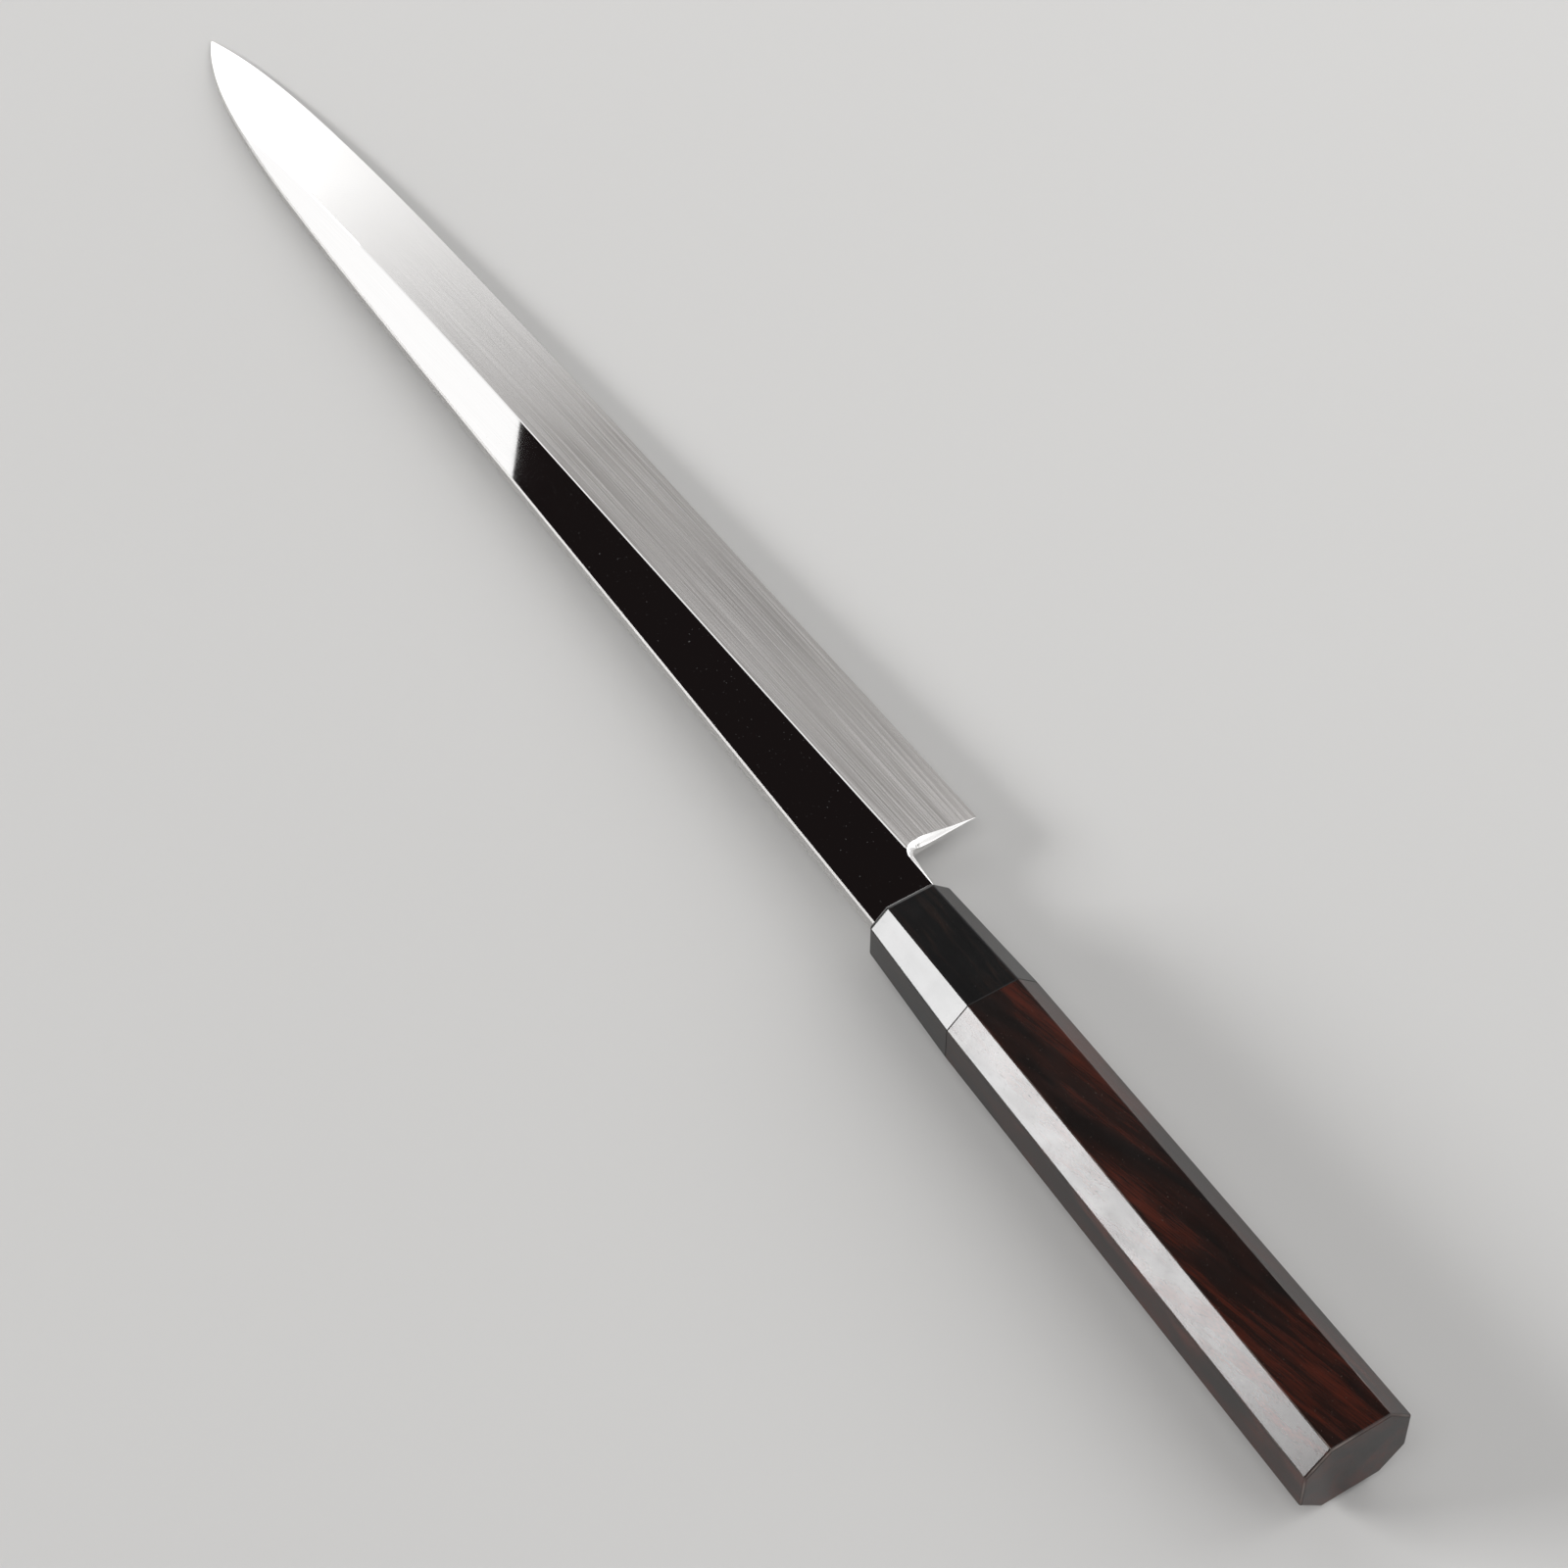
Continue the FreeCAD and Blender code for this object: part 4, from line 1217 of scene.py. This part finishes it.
@dataclass(frozen=True)
class Handle:
    """Octagonal grip and ferrule; sizes in millimetres, each octagon as depth, thickness and corner.

    Slot, mouth and neck are rectangles as rise, drop and half width. Creases are angles in degrees.
    """

    seam: float = 118.0
    front: float = 148.0
    butt_octagon: tuple[float, float, float] = (24.6, 20.8, 5.4)
    seam_octagon: tuple[float, float, float] = (21.8, 18.8, 4.85)
    front_octagon: tuple[float, float, float] = (19.0, 16.3, 4.05)
    arris: float = 0.45
    butt_round: float = 0.6
    front_round: float = 1.2
    seam_ease: float = 0.14
    border: float = 0.1
    bore: float = 6.1
    bore_end: float = 42.0
    ferrule_bore_end: float = 138.0
    slot: tuple[float, float, float] = (4.8, 4.8, 2.1)
    mouth: tuple[float, float, float] = (7.55, 8.55, 2.2)
    mouth_depth: float = 2.5
    neck: tuple[float, float, float] = (7.21, 8.2, 1.86)
    seal_sinks: tuple[float, float, float] = (0.05, 0.3, 0.12)
    # Wear on the butt's rounded edge and on the arrises, fading away from the butt; its lighter lines are
    # also a painted highlight
    butt_wear_and_highlight: float = 1.4
    arris_wear_and_highlight: tuple[float, float] = (1.6, 0.7)
    wear_and_highlight_fade: tuple[float, float] = (4.0, 50.0)
    round_rows: tuple[int, int] = (6, 10)
    side_rows: tuple[int, int] = (40, 14)
    crease: float = 25.0
    seal_crease: float = 40.0

    def octagons(self, share: Array, rear: Sequence[float], fore: Sequence[float], inset: Array) -> Array:
        """Eased octagons at shares of the way from one octagon to another.

        Args:
            share: place of each ring, 0 at the rear octagon and 1 at the fore one.
            rear: depth, thickness and corner of the rear octagon.
            fore: depth, thickness and corner of the fore octagon.
            inset: how far each ring is drawn in.

        Returns:
            Rings x columns x 2.
        """
        depth, thickness, corner = (a + (b - a) * share for a, b in zip(rear, fore))
        return eased_octagon(depth, thickness, corner, inset, np.full(len(share), self.arris))

    def grip(self, lay: Lay) -> bpy.types.Object:
        """Builds the grip: butt face, rounded butt edge, tapering sides, seam face and blind bore.

        Args:
            lay: where the knife's axes are in the frame.

        Returns:
            The piece.
        """
        turn = np.linspace(0, math.pi / 2, self.round_rows[0])
        sides = np.linspace(self.butt_round + self.border, self.seam - self.seam_ease, self.side_rows[0])
        x = np.concatenate([[0.0], self.butt_round * (1 - np.cos(turn)), sides, [self.seam]])
        inset = np.concatenate([[self.butt_round + self.border], self.butt_round * (1 - np.sin(turn)),
                                0 * sides, [self.seam_ease]])
        outer = self.octagons(x / self.seam, self.butt_octagon, self.seam_octagon, inset)
        centre, bore = np.zeros((1,) + outer.shape[1:]), round_ring(self.bore)[None]
        rings = np.concatenate([centre, outer, bore, bore, centre])
        stations = np.concatenate([[0.0], x, [self.seam, self.bore_end, self.bore_end]])
        # A ring of wear and painted highlight round the butt's rounded edge, and lines of it along the
        # arrises, strongest near the butt
        worn_and_highlight = np.concatenate([[0.0, 0.0], self.butt_wear_and_highlight * np.sin(2 * turn) ** 4, np.zeros(len(sides) + 4)])
        most, least = self.arris_wear_and_highlight
        rubbed_and_highlight = most + (least - most) * ramp(sides, *self.wear_and_highlight_fade)
        arrises = np.concatenate([np.zeros(3), np.ones(len(turn) - 1), rubbed_and_highlight, np.zeros(4)])
        sheet = ring_sheet(stations, rings, worn_and_highlight, arrises)
        return build_piece("grip_wood", [sheet], lay, math.radians(self.crease))

    def ferrule(self, lay: Lay) -> bpy.types.Object:
        """Builds the ferrule: tapering sides, rounded front, mouth for the neck, slot and dowel bore.

        Args:
            lay: where the knife's axes are in the frame.

        Returns:
            The piece.
        """
        turn = np.linspace(0, math.pi / 2, self.round_rows[1])
        shoulder = self.front - self.front_round
        sides = np.linspace(self.seam + self.seam_ease, shoulder - self.border, self.side_rows[1])
        rounded = self.front - self.front_round * (1 - np.sin(turn))
        x = np.concatenate([[self.seam], sides, rounded, [self.front]])
        inset = np.concatenate([[self.seam_ease], 0 * sides, self.front_round * (1 - np.cos(turn)),
                                [self.front_round + self.border]])
        share = (x - self.seam) / (self.front - self.seam)
        outer = self.octagons(share, self.seam_octagon, self.front_octagon, inset)
        floor = self.front - self.mouth_depth
        mouth, slot = oblong_ring(*self.mouth), oblong_ring(*self.slot)
        bore = round_ring(self.bore)
        inner = [(self.front, mouth), (floor, mouth), (floor, slot), (self.ferrule_bore_end, slot),
                 (self.ferrule_bore_end, bore), (self.seam, bore), (self.seam, outer[0])]
        rings = np.concatenate([outer, np.stack([ring for _, ring in inner])])
        stations = np.concatenate([x, [station for station, _ in inner]])
        arrises = np.concatenate([[0.0], np.ones(len(outer) - 2), np.zeros(len(inner) + 1)])
        sheet = ring_sheet(stations, rings, 0 * arrises, arrises)
        return build_piece("ferrule_horn", [sheet], lay, math.radians(self.crease))

    def seal(self, lay: Lay) -> bpy.types.Object:
        """Builds the bead in the mouth: a ring between neck and mouth with a sunken front.

        Args:
            lay: where the knife's axes are in the frame.

        Returns:
            The piece.
        """
        inner, outer = oblong_ring(*self.neck), oblong_ring(*self.mouth)
        middle, floor = (inner + outer) / 2, self.front - self.mouth_depth
        at_neck, halfway, at_mouth = (self.front - sink for sink in self.seal_sinks)
        rings = np.stack([inner, inner, middle, outer, outer, inner])
        stations = np.array([floor, at_neck, halfway, at_mouth, floor, floor])
        sheet = ring_sheet(stations, rings, 0 * stations, 0 * stations)
        return build_piece("neck_seal", [sheet], lay, math.radians(self.seal_crease))


@dataclass(frozen=True)
class Softbox:
    """A soft studio light.

    Attributes:
        name: name of the lamp.
        centre: place in the knife's axes, in millimetres.
        aim: point that it faces, in millimetres.
        width: size across, in metres.
        height: size upwards, in metres.
        radiance: brightness of its face.
        roll: turn of its face, in degrees.
    """

    name: str
    centre: tuple[float, float, float]
    aim: tuple[float, float, float]
    width: float
    height: float
    radiance: float
    roll: float = 0.0

    def place(self, lay: Lay) -> None:
        """Puts the lamp in the scene: its power is radiance times pi times the area of its face.

        Args:
            lay: where the knife's axes are in the frame.
        """
        lamp = bpy.data.lights.new(self.name, "AREA")
        lamp.shape = "RECTANGLE"
        lamp.size, lamp.size_y = self.width, self.height
        lamp.energy = self.radiance * math.pi * self.width * self.height
        holder = bpy.data.objects.new(self.name, lamp)
        holder.location = Vector(lay.place(np.array(self.centre)))
        facing = Vector(lay.place(np.array(self.aim))) - holder.location
        turn = Quaternion((0.0, 0.0, 1.0), math.radians(self.roll))
        holder.rotation_euler = (facing.to_track_quat("-Z", "Y") @ turn).to_euler()
        holder.visible_camera = False
        bpy.context.scene.collection.objects.link(holder)


@dataclass(frozen=True)
class Studio:
    """Pale floor, soft light and the camera at the photograph's angle.

    Sizes of the floor and the camera's range are in metres. The camera's distance and target and its sensor
    are in millimetres and its angles in degrees.
    """

    floor_tone: Colour = (0.66, 0.655, 0.645, 1)
    floor_roughness: float = 0.9
    floor_sheen: float = 0.1
    floor_reach: float = 11.0
    floor_level: float = -0.0002
    cloud_scale: float = 3.0
    cloud_share: float = 0.97
    near_fade: tuple[float, float] = (0.3, 0.8)
    far_fade: tuple[float, float] = (1.0, 6.0)
    horizon_tone: Colour = (0.9, 0.9, 0.9, 1)
    overhead_tone: Colour = (0.01, 0.0075, 0.0075, 1)
    overhead_fade: tuple[float, float] = (0.15, 0.42)
    azimuth: float = 33.064
    elevation: float = 51.452
    roll: float = 0.293
    distance: float = 881.6
    target: tuple[float, float, float] = (190.4, 2.2, 0.0)
    focal_pixels: float = 4350.0
    image_pixels: float = 1600.0
    sensor: float = 36.0
    clip_range: tuple[float, float] = (0.05, 60.0)

    def build_floor(self) -> None:
        """Lays a wide matt floor just under the knife, with faint unevenness in its tone.

        Away from the knife, the camera and polished surfaces see the floor's tone without shade, and far
        away it passes into the tone of the horizon.
        """
        mesh = bpy.data.meshes.new("floor")
        sides = ((-1, -1), (1, -1), (1, 1), (-1, 1))
        corners = [(x * self.floor_reach, y * self.floor_reach, self.floor_level) for x, y in sides]
        mesh.from_pydata(corners, [], [(0, 1, 2, 3)])
        finish = Finish("pale_floor")
        shade = finish.shade
        cloud = shade.noise(finish.place, self.cloud_scale)
        low = tuple(self.cloud_share * part for part in self.floor_tone[:3]) + (1.0,)
        finish.set(Base_Color=shade.mix(cloud, low, self.floor_tone), Roughness=self.floor_roughness,
                   Specular_IOR_Level=self.floor_sheen)
        distance = shade.add("ShaderNodeVectorMath", {0: finish.place}, operation="LENGTH").outputs["Value"]
        rays = shade.add("ShaderNodeLightPath").outputs
        seen = shade.math("MAXIMUM", rays["Is Camera Ray"], rays["Is Glossy Ray"])
        seen = shade.math("MAXIMUM", seen, rays["Is Transmission Ray"])
        tone = shade.mix(shade.spread(distance, *self.far_fade), self.floor_tone, self.horizon_tone)
        glow = shade.add("ShaderNodeEmission", {"Color": tone, "Strength": 1.0}).outputs[0]
        share = shade.times(seen, shade.spread(distance, *self.near_fade))
        cover = shade.add("ShaderNodeMixShader", {0: share, 1: finish.shader.outputs[0], 2: glow}).outputs[0]
        output = next(node for node in finish.material.node_tree.nodes if node.type == "OUTPUT_MATERIAL")
        finish.material.node_tree.links.new(cover, output.inputs["Surface"])
        mesh.materials.append(finish.material)
        floor = bpy.data.objects.new("floor", mesh)
        bpy.context.scene.collection.objects.link(floor)

    def build_world(self) -> None:
        """Pale towards the horizon and dark overhead."""
        world = bpy.data.worlds.new("studio")
        world.use_nodes = True
        bpy.context.scene.world = world
        shade = Shade(world.node_tree)
        backdrop = next(node for node in world.node_tree.nodes if node.type == "BACKGROUND")
        direction = shade.add("ShaderNodeTexCoord").outputs["Generated"]
        height = shade.add("ShaderNodeSeparateXYZ", {0: direction}).outputs[2]
        tone = shade.mix(shade.spread(height, *self.overhead_fade), self.horizon_tone, self.overhead_tone)
        world.node_tree.links.new(tone, backdrop.inputs["Color"])

    @staticmethod
    def build_lights(lay: Lay) -> None:
        """Softboxes beyond the tip, beside spine, edge and handle, high up, and behind.

        Args:
            lay: where the knife's axes are in the frame.
        """
        middle = (230.0, 0.0, 0.0)
        boxes = (
            Softbox("tip_softbox", (1653.0, -240.0, 851.0), (318.0, 0.0, 0.0), 1.0, 1.5, 1.18, roll=-22.0),
            Softbox("spine_softbox", (2178.0, 2943.0, 1275.0), middle, 1.67, 0.9, 25.5),
            Softbox("high_softbox", (-404.0, 1098.0, 2719.0), middle, 2.2, 1.6, 1.75),
            Softbox("edge_softbox", (1260.0, -855.0, 730.0), (1260.0, 0.0, 0.0), 1.28, 0.84, 1.0),
            Softbox("rear_softbox", (-755.0, -769.0, 974.0), (163.0, -12.0, 0.0), 1.2, 2.4, 1.1, roll=-24.0),
            Softbox("side_softbox", (180.0, -1060.0, 590.0), (180.0, -12.0, 0.0), 1.3, 0.7, 1.6),
        )
        for box in boxes:
            box.place(lay)

    def build_camera(self, lay: Lay) -> None:
        """Sets the camera from its angles about the target.

        It looks along (cos a cos e, -sin a cos e, -sin e) in the knife's axes, with its sides turned
        by the roll, and is carried into the frame by the knife's lay.

        Args:
            lay: where the knife's axes are in the frame.
        """
        a, e, r = (math.radians(angle) for angle in (self.azimuth, self.elevation, self.roll))
        ahead = np.array([math.cos(a) * math.cos(e), -math.sin(a) * math.cos(e), -math.sin(e)])
        right = np.array([-math.sin(a), -math.cos(a), 0.0])
        up = np.cross(right, ahead)
        across, upright = math.cos(r) * right + math.sin(r) * up, math.cos(r) * up - math.sin(r) * right
        place = Matrix(lay.turn(np.array([across, upright, -ahead])).T.tolist()).to_4x4()
        place.translation = Vector(lay.place(np.array(self.target) - self.distance * ahead))
        lens = bpy.data.cameras.new("camera")
        lens.sensor_width = self.sensor
        lens.lens = self.focal_pixels / self.image_pixels * self.sensor
        lens.clip_start, lens.clip_end = self.clip_range
        camera = bpy.data.objects.new("camera", lens)
        camera.matrix_world = place
        bpy.context.scene.collection.objects.link(camera)
        bpy.context.scene.camera = camera

    def build(self, lay: Lay) -> None:
        """Builds floor, world, lights and camera.

        Args:
            lay: where the knife's axes are in the frame.
        """
        self.build_floor()
        self.build_world()
        self.build_lights(lay)
        self.build_camera(lay)
        bpy.context.scene.view_settings.view_transform = "Standard"


def dress_piece(piece: bpy.types.Object, node: str, materials: Sequence[bpy.types.Material]) -> None:
    """Gives a new piece its finishes and puts it in the place of its plain node.

    Args:
        piece: the new object.
        node: the node that it stands for.
        materials: its finishes in the order of its slots.
    """
    for material in materials:
        piece.data.materials.append(material)
    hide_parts(node)
    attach(piece, "root")


def dress_node(name: str, material: bpy.types.Material) -> None:
    """Gives a carried-over node its finish.

    Args:
        name: the node.
        material: its finish.
    """
    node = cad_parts[name]
    node.data.materials.clear()
    node.data.materials.append(material)


def main() -> None:
    """Builds and dresses every piece, and then the studio around them."""
    logging.basicConfig(level=logging.INFO, format="%(name)s: %(message)s")
    lay, effects = Lay(), Effects()
    blade, handle = Blade(), Handle()
    steel = blade.build(lay)
    dress_piece(steel, "blade", blade.materials(effects))
    horn, wood, bead = handle.ferrule(lay), handle.grip(lay), handle.seal(lay)
    dress_piece(horn, "ferrule", [Horn().material(effects)])
    dress_piece(wood, "handle_body", [Rosewood().material(effects)])
    dark_resin = Resin("dark_resin", (0.02, 0.015, 0.012, 1), (0.05, 0.038, 0.03, 1))
    dress_piece(bead, "slot_seal", [dark_resin.material(effects)])
    dress_node("core_dowel", PlainWood().material(effects))
    amber_resin = Resin("amber_resin", (0.3, 0.19, 0.08, 1), (0.42, 0.3, 0.16, 1))
    dress_node("tang_bedding", amber_resin.material(effects))
    for piece in (steel, horn, wood, bead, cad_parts["core_dowel"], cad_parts["tang_bedding"]):
        log.info("%s: %d faces, %d finishes", piece.name, len(piece.data.polygons), len(piece.data.materials))
    Studio().build(lay)


if __name__ == "__main__":
    main()
